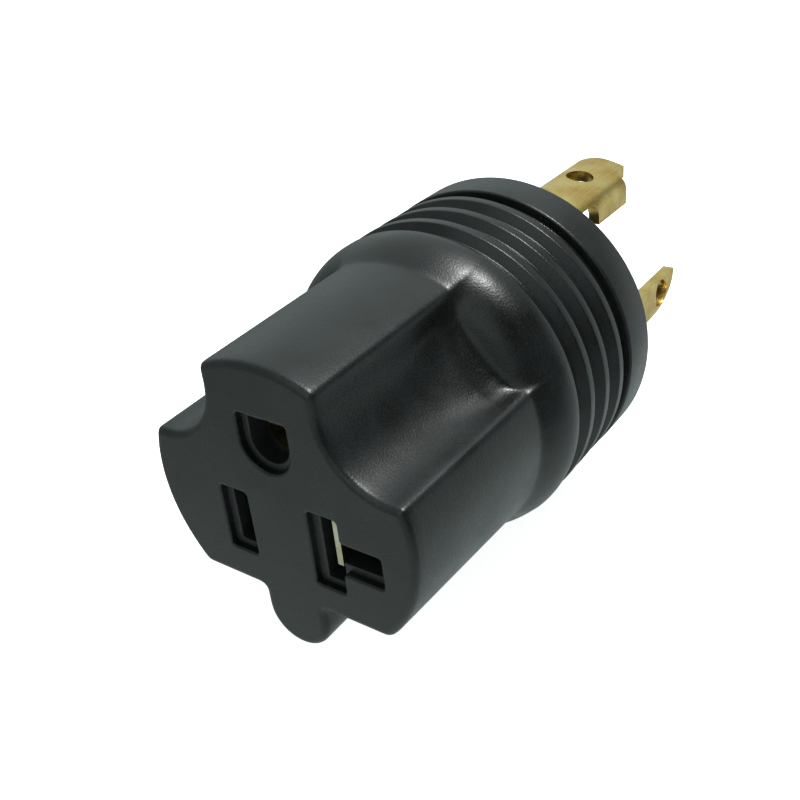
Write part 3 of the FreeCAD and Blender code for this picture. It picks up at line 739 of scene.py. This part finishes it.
@dataclass
class Jacket:
    """The moulded outer body: lobed socket end, dome, grip ribs and collar, with its three openings."""

    body_len: float = 51.8
    face_rad: float = 18.3
    lobe_rad: float = 19.2
    scallop_rad: float = 8.3
    scallop_narrowing: float = 0.4
    scallop_x: float = 16.05
    scallop_z: float = 14.4
    notch_z: float = 12.3
    chin_half: float = 4.4
    chin_end: float = 19.4
    corner_blur: float = 0.5
    rim_round: float = 0.85
    dome_rad: float = 20.75
    dome_back: float = 20.3
    dome_straight: float = 1.0
    dome_round: float = 6.0
    dome_hollow: float = 4.0
    floor_rad: float = 13.4
    foot_slope: float = 0.5
    groove_rad: float = 19.5
    rib_count: int = 3
    rib_pitch: float = 4.13
    rib_len: float = 2.1
    rib_slope: float = 0.8
    collar_len: float = 5.9
    collar_rad: float = 20.85
    carrier_rad: float = 18.2
    carrier_len: float = 5.0
    mould_rad: float = 17.1
    mould_front: float = 12.6
    mould_from: float = 27.0
    mould_full: float = 19.0
    wall_face: float = 0.9
    slot_line: float = 3.3
    slot_pitch: float = 12.7
    slot_wide: float = 4.05
    slot_round: float = 0.5
    hot_high: float = 8.7
    neutral_high: float = 9.9
    stem_high: float = 4.15
    stem_end: float = 13.85
    pin_half: float = 3.5
    pin_line: float = 8.6
    pin_flat: float = 11.95
    block_boxes: tuple[tuple[float, float, float, float], ...] = (
        (-10.7, 10.7, -10.0, 3.5), (-5.7, 5.7, -10.0, 14.3), (0.0, 15.1, -7.375, 0.775))
    lip_round: float = 0.28
    blend_least: float = 2.5
    blend_most: float = 5.0
    blend_gain: float = 0.6
    groove_round: float = 0.2
    rib_foot_round: float = 0.25
    rib_round: float = 0.3
    dome_edge_round: float = 0.35
    collar_round: float = 0.55
    recess_round: float = 0.12
    groove_run: float = 0.4
    lobe_step: float = 1.1
    blend_run: float = 16.0
    blend_step: float = 0.32
    lip_steps: int = 4
    corner_steps: int = 7
    loop_points: int = 480
    fine_step: float = 0.05
    support: float = 0.06

    @property
    def shoulder(self) -> float:
        """Where the dome's straight rim ends, along the axis."""
        return -self.dome_back - self.dome_straight

    def half_outline(self, radius: float, scallop: float) -> Loop:
        """Walk the right half of the lobed section from the top to the bottom in fine steps.

        Args:
            radius: Radius of the lobes.
            scallop: Radius of the hollow between the top lobe and a side lobe.

        Returns:
            Points as (x, z).
        """
        top_half = self.scallop_x - scallop
        shelf = self.scallop_z - scallop
        lobe_from = math.atan2(math.sqrt(radius ** 2 - shelf ** 2), shelf)
        lobe_to = math.atan2(math.sqrt(radius ** 2 - self.notch_z ** 2), -self.notch_z)
        chin_z = self.chin_half - self.chin_end
        walk: Loop = []

        def arc(x: float, z: float, rad: float, start: float, stop: float) -> None:
            """Add an arc about a centre, its angles counted from +Z towards +X.

            Args:
                x: Middle of the arc across the face.
                z: Middle of the arc up the face.
                rad: Its radius.
                start: Angle it starts at, in radians.
                stop: Angle it stops at, in radians.
            """
            steps = max(int(rad * abs(stop - start) / self.fine_step), 1)
            for step in range(steps + 1):
                angle = start + (stop - start) * step / steps
                walk.append((x + rad * math.sin(angle), z + rad * math.cos(angle)))

        def line(x: float, z: float) -> None:
            """Add a straight run from the last point.

            Args:
                x: End of the run across the face.
                z: End of the run up the face.
            """
            x0, z0 = walk[-1]
            steps = max(int(math.hypot(x - x0, z - z0) / self.fine_step), 1)
            for step in range(1, steps + 1):
                walk.append((x0 + (x - x0) * step / steps, z0 + (z - z0) * step / steps))

        arc(0, 0, radius, 0, math.asin(top_half / radius))
        line(top_half, self.scallop_z)
        arc(self.scallop_x, self.scallop_z, scallop, -math.pi / 2, -math.pi)
        line(radius * math.sin(lobe_from), shelf)
        arc(0, 0, radius, lobe_from, lobe_to)
        line(self.chin_half, -self.notch_z)
        line(self.chin_half, chin_z)
        arc(0, chin_z, self.chin_half, math.pi / 2, math.pi)
        return walk

    def outline(self, radius: float, scallop: float) -> np.ndarray:
        """Give the lobed section with its corners softened, as evenly spaced points.

        Args:
            radius: Radius of the lobes.
            scallop: Radius of the hollows.

        Returns:
            One row of (x, z) for each point, clockwise from the top as seen from the plug end.
        """
        right = np.array(self.half_outline(radius, scallop))
        left = right[::-1] * (-1, 1)
        loop = np.concatenate([right, left[1:-1]])

        def evenly(points: np.ndarray, count: int) -> np.ndarray:
            """Space points evenly along a closed loop.

            Args:
                points: The loop.
                count: How many points.

            Returns:
                The even points.
            """
            shut = np.vstack([points, points[:1]])
            run = np.concatenate([[0], np.cumsum(np.linalg.norm(np.diff(shut, axis=0), axis=1))])
            wanted = np.linspace(0, run[-1], count, endpoint=False)
            return np.stack([np.interp(wanted, run, shut[:, axis]) for axis in (0, 1)], axis=1)

        fine = evenly(loop, self.loop_points * 6)
        spacing = np.linalg.norm(fine[1] - fine[0])
        reach = int(4 * self.corner_blur / spacing)
        weights = np.exp(-0.5 * (np.arange(-reach, reach + 1) * spacing / self.corner_blur) ** 2)
        weights /= weights.sum()
        soft = sum(weight * np.roll(fine, shift, axis=0)
                   for weight, shift in zip(weights, range(-reach, reach + 1)))
        return evenly(soft, self.loop_points)

    def turned_radius(self, y: float) -> float:
        """Radius of the turned dome at a place along the axis; in front of its foot it falls away.

        Args:
            y: Place along the axis.

        Returns:
            The radius.
        """
        bend = (self.dome_rad - self.floor_rad) / (self.dome_round + self.dome_hollow)
        swing = math.sqrt(2 * bend - bend * bend)
        knee = self.shoulder - self.dome_round * swing
        foot = knee - self.dome_hollow * swing
        if y >= self.shoulder:
            return self.dome_rad
        if y >= knee:
            return self.dome_rad - self.dome_round + math.sqrt(self.dome_round ** 2 - (y - self.shoulder) ** 2)
        if y >= foot:
            return self.floor_rad + self.dome_hollow - math.sqrt(self.dome_hollow ** 2 - (y - foot) ** 2)
        return self.floor_rad - self.foot_slope * (foot - y)

    def section(self, y: float) -> np.ndarray:
        """Give the outer section at a place on the front part, lobes and dome blended.

        Args:
            y: Place along the axis, from the face to the dome's back.

        Returns:
            One row of (x, z) for each point.
        """
        share = min((y + self.body_len) / (self.body_len + self.shoulder), 1.0)
        lobes = self.outline(self.face_rad + (self.lobe_rad - self.face_rad) * share,
                             self.scallop_rad - self.scallop_narrowing * share)
        reach = np.linalg.norm(lobes, axis=1)
        dome = self.turned_radius(y)
        blend = np.clip(self.blend_least + (self.lobe_rad - reach) * self.blend_gain,
                        self.blend_least, self.blend_most)
        near = np.clip(blend - np.abs(reach - dome), 0, None) / blend
        blended = np.maximum(reach, dome) + near ** 2 * blend / 4
        return lobes * (blended / reach)[:, None]

    def front_rings(self, mesh: LoopMesh) -> list[list[bmesh.types.BMVert]]:
        """Make the loops from the face's rim to the dome's straight rim.

        Args:
            mesh: The jacket's mesh.

        Returns:
            The loops in order.
        """
        face = -self.body_len
        rim = self.outline(self.face_rad, self.scallop_rad)
        rings = [mesh.ring(sideways(rim, self.rim_round + self.support), face)]
        for step in range(6):
            angle = math.radians(90 * step / 6)
            inward = self.rim_round * (1 - math.sin(angle))
            y = face + self.rim_round * (1 - math.cos(angle))
            rings.append(mesh.ring(sideways(self.section(y), inward), y))
        start = face + self.rim_round
        blend_from = self.shoulder - self.blend_run
        rings += [mesh.ring(self.section(y), y) for y in np.arange(start, blend_from, self.lobe_step)]
        rings += [mesh.ring(self.section(y), y)
                  for y in np.arange(blend_from, self.shoulder + 0.01, self.blend_step)]
        return rings

    def openings(self) -> list[np.ndarray]:
        """Give the outlines of the hot, T and ground openings.

        Returns:
            One loop of (x, z) points each.
        """
        half = self.slot_wide / 2
        hot = -self.slot_pitch / 2
        neutral = self.slot_pitch / 2
        middle = -self.slot_line
        low, high = middle - self.neutral_high / 2, middle + self.neutral_high / 2
        stem_low, stem_high = middle - self.stem_high / 2, middle + self.stem_high / 2
        hot_low, hot_high = middle - self.hot_high / 2, middle + self.hot_high / 2
        corners = (
            ((hot - half, hot_low), (hot - half, hot_high), (hot + half, hot_high), (hot + half, hot_low)),
            ((neutral - half, low), (neutral - half, high), (neutral + half, high), (neutral + half, stem_high),
             (self.stem_end, stem_high), (self.stem_end, stem_low), (neutral + half, stem_low),
             (neutral + half, low)),
        )
        outlines = [[(x, z, self.slot_round) for x, z in outline] for outline in corners]
        wide, bottom = self.pin_half, self.pin_line - self.pin_half
        outlines.append([(-wide, bottom, wide), (-wide, self.pin_flat, self.slot_round),
                         (wide, self.pin_flat, self.slot_round), (wide, bottom, wide)])
        return [np.array(fillet(outline, True, self.corner_steps)) for outline in outlines]

    def opening_wall(self, mesh: LoopMesh, loop: np.ndarray, core: float) -> list[list[bmesh.types.BMVert]]:
        """Make the rounded lip and the wall of one opening.

        Args:
            mesh: The jacket's mesh.
            loop: Outline of the opening.
            core: Where the wall ends, at the contact block.

        Returns:
            Its loops from the face inwards.
        """
        rings = [mesh.ring(sideways(loop, -self.lip_round - self.support), -self.body_len)]
        for step in range(self.lip_steps + 1):
            angle = math.radians(90 * step / self.lip_steps)
            grown = self.lip_round * (1 - math.sin(angle))
            rings.append(mesh.ring(sideways(loop, -grown),
                                   -self.body_len + self.lip_round * (1 - math.cos(angle))))
        rings.append(mesh.ring(loop, core))
        mesh.skin(rings)
        return rings

    def block_outline(self, spokes: np.ndarray) -> np.ndarray:
        """Give the hole for the contact block where the section's spokes meet it.

        Args:
            spokes: Unit directions of the section's points.

        Returns:
            One point on each spoke.
        """
        reach = np.zeros(len(spokes))
        for x0, x1, z0, z1 in self.block_boxes:
            limits = []
            for axis, low, high in ((0, x0, x1), (1, z0, z1)):
                direction = np.where(np.abs(spokes[:, axis]) < 1e-9, 1e-9, spokes[:, axis])
                limits.append(np.where(direction > 0, high / direction, low / direction))
            reach = np.maximum(reach, np.minimum(*limits))
        return spokes * reach[:, None]

    def rib_ring(self, spokes: np.ndarray) -> bpy.types.Object:
        """Make the grip ribs by repeating one rib along the axis.

        Args:
            spokes: Unit directions of the section's points.

        Returns:
            The band of ribs, open at both ends.
        """
        top, groove = self.dome_rad, self.groove_rad
        start = -self.dome_back
        stop = start + self.rib_pitch
        profile = fillet((
            (start + self.groove_run, groove, 0),
            (stop - self.rib_len, groove, self.rib_foot_round),
            (stop - self.rib_len + self.rib_slope, top, self.rib_round),
            (stop, top, self.groove_round),
            (stop, groove, self.groove_round),
            (stop + self.groove_run, groove, 0)), False)
        one = LoopMesh()
        one.skin([one.ring(spokes * radius, y) for y, radius in profile])
        seed = one.finish("one_rib", 60)
        return run_tree(seed, rib_tree(), {
            "Rib Count": self.rib_count, "Pitch": self.rib_pitch * MM, "Weld Distance": 1e-6,
            "Finish": Finish.JACKET.material()}, "rib_band")

    def rear_rings(self, mesh: LoopMesh, spokes: np.ndarray) -> list[list[bmesh.types.BMVert]]:
        """Make the loops of the collar, the rear face and the inner walls, from the last rib inwards.

        Args:
            mesh: The jacket's mesh.
            spokes: Unit directions of the section's points.

        Returns:
            The loops in order.
        """
        groove, collar = self.groove_rad, self.collar_rad
        after_rib = -self.dome_back + self.rib_pitch * self.rib_count + self.groove_run
        profile = fillet((
            (after_rib, groove, 0),
            (-self.collar_len, groove, self.groove_round),
            (-self.collar_len, collar, self.rib_round),
            (0.0, collar, self.collar_round),
            (0.0, self.carrier_rad, self.recess_round),
            (-self.carrier_len, self.carrier_rad, 0),
            (-self.carrier_len, self.mould_rad, 0),
            (-self.mould_full, self.mould_rad, 0),
            (-self.mould_from, self.mould_front, 0)), False)
        return [mesh.ring(spokes * radius, y) for y, radius in profile]

    def build(self) -> list[bpy.types.Object]:
        """Make the jacket as one closed shell.

        Returns:
            The piece.
        """
        mesh = LoopMesh()
        core = self.wall_face - self.body_len
        front = self.front_rings(mesh)
        last = self.section(self.shoulder)
        spokes = last / np.linalg.norm(last, axis=1)[:, None]
        dome_edge = fillet((
            (self.shoulder, self.dome_rad, 0),
            (-self.dome_back, self.dome_rad, self.dome_edge_round),
            (-self.dome_back, self.groove_rad, self.groove_round),
            (-self.dome_back + self.groove_run, self.groove_rad, 0)), False)
        front += [mesh.ring(spokes * radius, y) for y, radius in dome_edge[1:]]
        mesh.skin(front)
        hole = self.block_outline(spokes)
        rear = self.rear_rings(mesh, spokes)
        rear += [mesh.ring(hole, -self.mould_from), mesh.ring(hole, core)]
        mesh.skin(rear)
        walls = [self.opening_wall(mesh, loop, core) for loop in self.openings()]
        mesh.plate(front[0], *(wall[0] for wall in walls))
        mesh.plate(rear[-1], *(wall[-1] for wall in walls))
        ribs = self.rib_ring(spokes)
        mesh.bm.from_mesh(ribs.data)
        bpy.data.objects.remove(ribs)
        return [finish_piece(mesh.finish("jacket_body", 50), Finish.JACKET, ["jacket"])]


@dataclass
class SocketCore:
    """The moulded contact block behind the face and the cover on its back."""

    front_edge: float = 0.16
    cover_edge: float = 0.25

    def build(self) -> list[bpy.types.Object]:
        """Make the block and its cover.

        Returns:
            The pieces.
        """
        block = edged_copy("socket_block", self.front_edge, "contact_block")
        finish_piece(block, Finish.CORE, ["socket_block"])
        cover = edged_copy("block_cover", self.cover_edge, "contact_cover")
        return [block, finish_piece(cover, Finish.CORE, ["block_cover"])]


@dataclass
class ContactSet:
    """The pressed contacts: three bases and the four spring leaves that turn on them."""

    base_edge: float = 0.1
    leaf_edge: float = 0.06

    def build(self) -> list[bpy.types.Object]:
        """Make each base and each leaf on its own body.

        Returns:
            The pieces.
        """
        pieces = []
        for node in ("hot_contact", "neutral_contact", "ground_contact"):
            base = edged_copy(node, self.base_edge, node + "_base")
            pieces.append(finish_piece(base, Finish.CONTACT, [node]))
        for node in ("hot_leaf_inner", "hot_leaf_outer", "neutral_leaf", "ground_leaf"):
            leaf = edged_copy(node, self.leaf_edge, node + "_spring")
            pieces.append(finish_piece(leaf, Finish.CONTACT, [node]))
        return pieces


@dataclass
class BladeSet:
    """The locking plug end: two curved current blades, the L-shaped ground blade and their carrier disc."""

    blade_edge: float = 0.14
    disc_edge: float = 0.3

    def build(self) -> list[bpy.types.Object]:
        """Make the three blades and their carrier disc.

        Returns:
            The pieces.
        """
        pieces = [finish_piece(edged_copy(node, self.blade_edge, node + "_strip"), Finish.BLADE, [node])
                  for node in ("hot_blade", "neutral_blade", "ground_blade")]
        disc = edged_copy("blade_carrier", self.disc_edge, "carrier_disc")
        return pieces + [finish_piece(disc, Finish.CARRIER, ["blade_carrier"])]


class Circuit(Enum):
    """The three circuits, each with the finish of its insulation."""

    HOT = Finish.BLACK
    NEUTRAL = Finish.WHITE
    GROUND = Finish.GREEN

    @property
    def prefix(self) -> str:
        """Start of the circuit's node names."""
        return self.name.lower()


@dataclass
class LeadSet:
    """The three short internal leads: a laid copper core and an insulating sleeve round its middle."""

    layers: tuple[tuple[int, float], ...] = ((1, 0.0), (6, 0.46), (12, 0.915))
    strand_rad: float = 0.23
    twist_per_mm: float = 0.42
    step: float = 0.45
    wire_rad: float = 1.15
    sleeve_wall: float = 0.6
    straight: float = 0.2
    path_steps: int = 24
    strand_sides: int = 8
    sleeve_sides: int = 40

    def path(self, node: str, inset: float) -> list[Vector]:
        """Give the centreline of one lead from its CAD node's box.

        Args:
            node: The lead's core.
            inset: Radius of that core in metres.

        Returns:
            Points from the socket end to the plug end.
        """
        low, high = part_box(node)
        low, high = low + Vector((inset, 0, inset)), high - Vector((inset, 0, inset))
        outward = high.x + low.x >= 0
        start = Vector((low.x if outward else high.x, low.y, low.z))
        stop = Vector((high.x if outward else low.x, high.y, high.z))
        points = []
        for number in range(self.path_steps + 1):
            along = number / self.path_steps
            bend = min(max((along - self.straight) / (1 - 2 * self.straight), 0), 1)
            swing = 2 * bend * bend if bend < 0.5 else 1 - 2 * (1 - bend) ** 2
            points.append(Vector((start.x + (stop.x - start.x) * swing, start.y + (stop.y - start.y) * along,
                                  start.z + (stop.z - start.z) * swing)))
        return points

    def curve(self, name: str, points: Sequence[Vector]) -> bpy.types.Object:
        """Make a curve object through points.

        Args:
            name: Its name.
            points: The points, in metres.

        Returns:
            The curve object.
        """
        data = bpy.data.curves.new(name, "CURVE")
        data.dimensions = "3D"
        spline = data.splines.new("POLY")
        spline.points.add(len(points) - 1)
        for point, place in zip(spline.points, points):
            point.co = (*place, 1.0)
        obj = bpy.data.objects.new(name, data)
        bpy.context.scene.collection.objects.link(obj)
        return obj

    def laid(self, name: str, points: Sequence[Vector], strands: int, lay: float, radius: float, sides: int,
             finish: Finish) -> bpy.types.Object:
        """Run the strand tree along a path.

        Args:
            name: Name of the piece.
            points: The path, in metres.
            strands: How many strands.
            lay: Radius of the circle they lie on, in millimetres.
            radius: Radius of one strand in millimetres.
            sides: Sides of one strand.
            finish: Its finish.

        Returns:
            The strands as a plain mesh piece.
        """
        return run_tree(self.curve(name + "_path", points), strand_tree(), {
            "Strands": strands, "Lay Radius": lay * MM, "Strand Radius": radius * MM,
            "Twist": self.twist_per_mm / MM, "Step": self.step * MM, "Sides": sides,
            "Finish": finish.material()}, name)

    def joined(self, parts: Sequence[bpy.types.Object], crease: float, name: str) -> bpy.types.Object:
        """Join parts into one shaded mesh.

        Args:
            parts: The parts. They are removed.
            crease: Angle in degrees above which an edge stays sharp.
            name: Name of the result.

        Returns:
            The result.
        """
        bm = bmesh.new()
        for part in parts:
            bm.from_mesh(part.data)
            bpy.data.objects.remove(part)
        bmesh.ops.recalc_face_normals(bm, faces=bm.faces)
        shade(bm, crease)
        mesh = bpy.data.meshes.new(name)
        bm.to_mesh(mesh)
        bm.free()
        return mesh_object(name, mesh)

    def core(self, circuit: Circuit) -> bpy.types.Object:
        """Make the stranded copper core of one circuit.

        Args:
            circuit: The circuit.

        Returns:
            The piece.
        """
        node = circuit.prefix + "_core"
        points = self.path(node, self.wire_rad * MM)
        layers = [self.laid("%s_layer_%d" % (node, number), points, strands, lay, self.strand_rad,
                            self.strand_sides, Finish.COPPER)
                  for number, (strands, lay) in enumerate(self.layers)]
        return finish_piece(self.joined(layers, 60, node + "_strands"), Finish.COPPER, [node])

    def sleeve(self, circuit: Circuit) -> bpy.types.Object:
        """Make the insulating sleeve of one circuit.

        Args:
            circuit: The circuit.

        Returns:
            The piece.
        """
        node = circuit.prefix + "_sleeve"
        low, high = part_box(node)
        middle = [point for point in self.path(circuit.prefix + "_core", self.wire_rad * MM)
                  if low.y < point.y < high.y]
        first, last = middle[0], middle[-1]
        middle = [Vector((first.x, low.y, first.z)), *middle, Vector((last.x, high.y, last.z))]
        radius = self.wire_rad + self.sleeve_wall
        tube = self.laid(node + "_tube", middle, 1, 0.0, radius, self.sleeve_sides, circuit.value)
        return finish_piece(self.joined([tube], 50, node + "_tube"), circuit.value, [node])

    def build(self) -> list[bpy.types.Object]:
        """Make the core and the sleeve of each circuit."""
        return [make(circuit) for circuit in Circuit for make in (self.core, self.sleeve)]


@dataclass
class InnerMould:
    """The first moulding shot, which fills the space round the leads."""

    edge: float = 0.3

    def build(self) -> list[bpy.types.Object]:
        """Make the mould."""
        mould = edged_copy("inner_mould", self.edge, "lead_mould")
        return [finish_piece(mould, Finish.INNER, ["inner_mould"])]


@dataclass(frozen=True)
class TentPatch:
    """One part of the tent that is brighter or darker than the rest.

    The patch is full inside `inner` and fades out at `outer`, both as the cosine of the angle off its middle.
    """

    middle: tuple[float, float, float]
    outer: float
    inner: float
    gain: float
    operation: str

    def add_to(self, tree: bpy.types.NodeTree, toward: Socket, glow: Socket) -> Socket:
        """Work the patch into the tent's brightness.

        Args:
            tree: The world's tree.
            toward: The direction looked in.
            glow: The brightness so far.

        Returns:
            The brightness with the patch.
        """
        near = add_node(tree, "ShaderNodeVectorMath", {0: toward, 1: self.middle}, operation="DOT_PRODUCT")
        plain = 0.0 if self.operation == "ADD" else 1.0
        share = add_node(tree, "ShaderNodeMapRange", {
            "Value": near.outputs["Value"], "From Min": self.outer, "From Max": self.inner,
            "To Min": plain, "To Max": self.gain}, interpolation_type="SMOOTHSTEP")
        mixed = add_node(tree, "ShaderNodeMath", {
            0: glow, 1: share.outputs["Result"]}, operation=self.operation)
        return mixed.outputs[0]


@dataclass
class Studio:
    """Seamless paper, the tent round it, one soft box and the camera."""

    camera_at: tuple[float, float, float] = (66.0, -112.3, 64.3)
    heading: float = 38.06
    tilt: float = 30.45
    lean: float = -6.3
    focal: float = 45.05
    sensor: float = 36.0
    nearest: float = 0.005
    paper_half: float = 1600.0
    tent_low: float = 0.6
    tent_side: float = 0.3
    tent_floor: float = -0.66
    tent_wall: float = -0.42
    tent_tint: str = "#effffc"
    patches: tuple[TentPatch, ...] = (
        TentPatch((-0.50, 0.50, 0.70), 0.60, 0.94, 0.47, "ADD"),
        TentPatch((0.15, -0.80, 0.58), 0.84, 0.95, 0.6, "ADD"),
        TentPatch((0.35, 0.90, -0.25), 0.80, 0.95, 0.4, "ADD"),
        TentPatch((0.94, -0.10, 0.33), 0.52, 0.78, 0.06, "MULTIPLY"),
    )
    key_from: tuple[float, float, float] = (0.25, 0.15, 0.95)
    key_far: float = 420.0
    key_size: tuple[float, float] = (60.0, 60.0)
    key_power: float = 1.5

    def camera(self) -> None:
        """Make the camera from its heading, tilt and lean."""
        heading, tilt, lean = (math.radians(angle) for angle in (self.heading, self.tilt, self.lean))
        level = math.cos(tilt)
        ahead = Vector((-math.sin(heading) * level, math.cos(heading) * level, -math.sin(tilt)))
        right = ahead.cross(Vector((0, 0, 1))).normalized()
        above = right.cross(ahead)
        leaning_right = math.cos(lean) * right + math.sin(lean) * above
        leaning_above = math.cos(lean) * above - math.sin(lean) * right
        turn = Matrix((leaning_right, leaning_above, -ahead)).transposed().to_4x4()
        data = bpy.data.cameras.new("camera")
        data.sensor_width = self.sensor
        data.lens = self.focal
        data.clip_start = self.nearest
        camera = bpy.data.objects.new("camera", data)
        camera.matrix_world = Matrix.Translation(Vector(self.camera_at) * MM) @ turn
        bpy.context.scene.collection.objects.link(camera)
        bpy.context.scene.camera = camera

    def paper(self) -> None:
        """Lay the paper floor under the collar."""
        low, _high = CAD_BOX
        half = self.paper_half * MM
        mesh = bpy.data.meshes.new("paper_floor")
        corners = [(-half, -half, low.z), (half, -half, low.z), (half, half, low.z), (-half, half, low.z)]
        mesh.from_pydata(corners, [], [(0, 1, 2, 3)])
        floor = mesh_object("paper_floor", mesh)
        mesh.materials.append(StudioPaper().build())
        floor.visible_glossy = False

    def soft_box(self, name: str, place: tuple[float, float, float], aim: tuple[float, float, float],
                 size: tuple[float, float], power: float, tint: str) -> None:
        """Hang one rectangular soft box.

        Args:
            name: Its name.
            place: Where it hangs, in millimetres.
            aim: Where it looks, in millimetres.
            size: Its width and height in millimetres.
            power: Its power in watts.
            tint: Its colour.
        """
        data = bpy.data.lights.new(name, "AREA")
        data.shape = "RECTANGLE"
        data.size, data.size_y = size[0] * MM, size[1] * MM
        data.energy = power
        data.color = colour(tint)[:3]
        light = bpy.data.objects.new(name, data)
        light.location = Vector(place) * MM
        light.rotation_euler = (Vector(aim) - Vector(place)).to_track_quat("-Z", "Y").to_euler()
        bpy.context.scene.collection.objects.link(light)

    def surroundings(self) -> None:
        """Surround the object with a dim tent that has brighter and darker patches."""
        world = bpy.data.worlds.new("studio_tent")
        bpy.context.scene.world = world
        world.use_nodes = True
        tree = world.node_tree
        toward = add_node(tree, "ShaderNodeTexCoord").outputs["Generated"]
        height = add_node(tree, "ShaderNodeSeparateXYZ", {0: toward}).outputs["Z"]
        glow = add_node(tree, "ShaderNodeMapRange", {
            "Value": height, "From Min": self.tent_floor, "From Max": self.tent_wall,
            "To Min": self.tent_low, "To Max": self.tent_side}).outputs["Result"]
        for patch in self.patches:
            glow = patch.add_to(tree, toward, glow)
        feed(tree, tree.nodes["Background"], {"Color": colour(self.tent_tint), "Strength": glow})

    def lights(self) -> None:
        """Hang the soft box over the object."""
        centre = Vector((0.0, -25.0, 0.0))
        self.soft_box("key_box", centre + Vector(self.key_from) * self.key_far, centre, self.key_size,
                      self.key_power, "#ffffff")

    def build(self) -> None:
        """Set up everything round the object."""
        self.camera()
        self.paper()
        self.surroundings()
        self.lights()
        bpy.context.scene.view_settings.view_transform = "Standard"


def main() -> None:
    """Build the adapter round its frame."""
    logging.basicConfig(level=logging.INFO, format="%(name)s: %(message)s")
    Studio().build()
    pieces = []
    for assembly in (Jacket(), SocketCore(), ContactSet(), BladeSet(), LeadSet(), InnerMould()):
        made = assembly.build()
        log.info("%s: %d pieces", type(assembly).__name__, len(made))
        pieces += made
    log.info("%d pieces, %d faces", len(pieces), sum(len(piece.data.polygons) for piece in pieces))


if __name__ == "__main__":
    main()
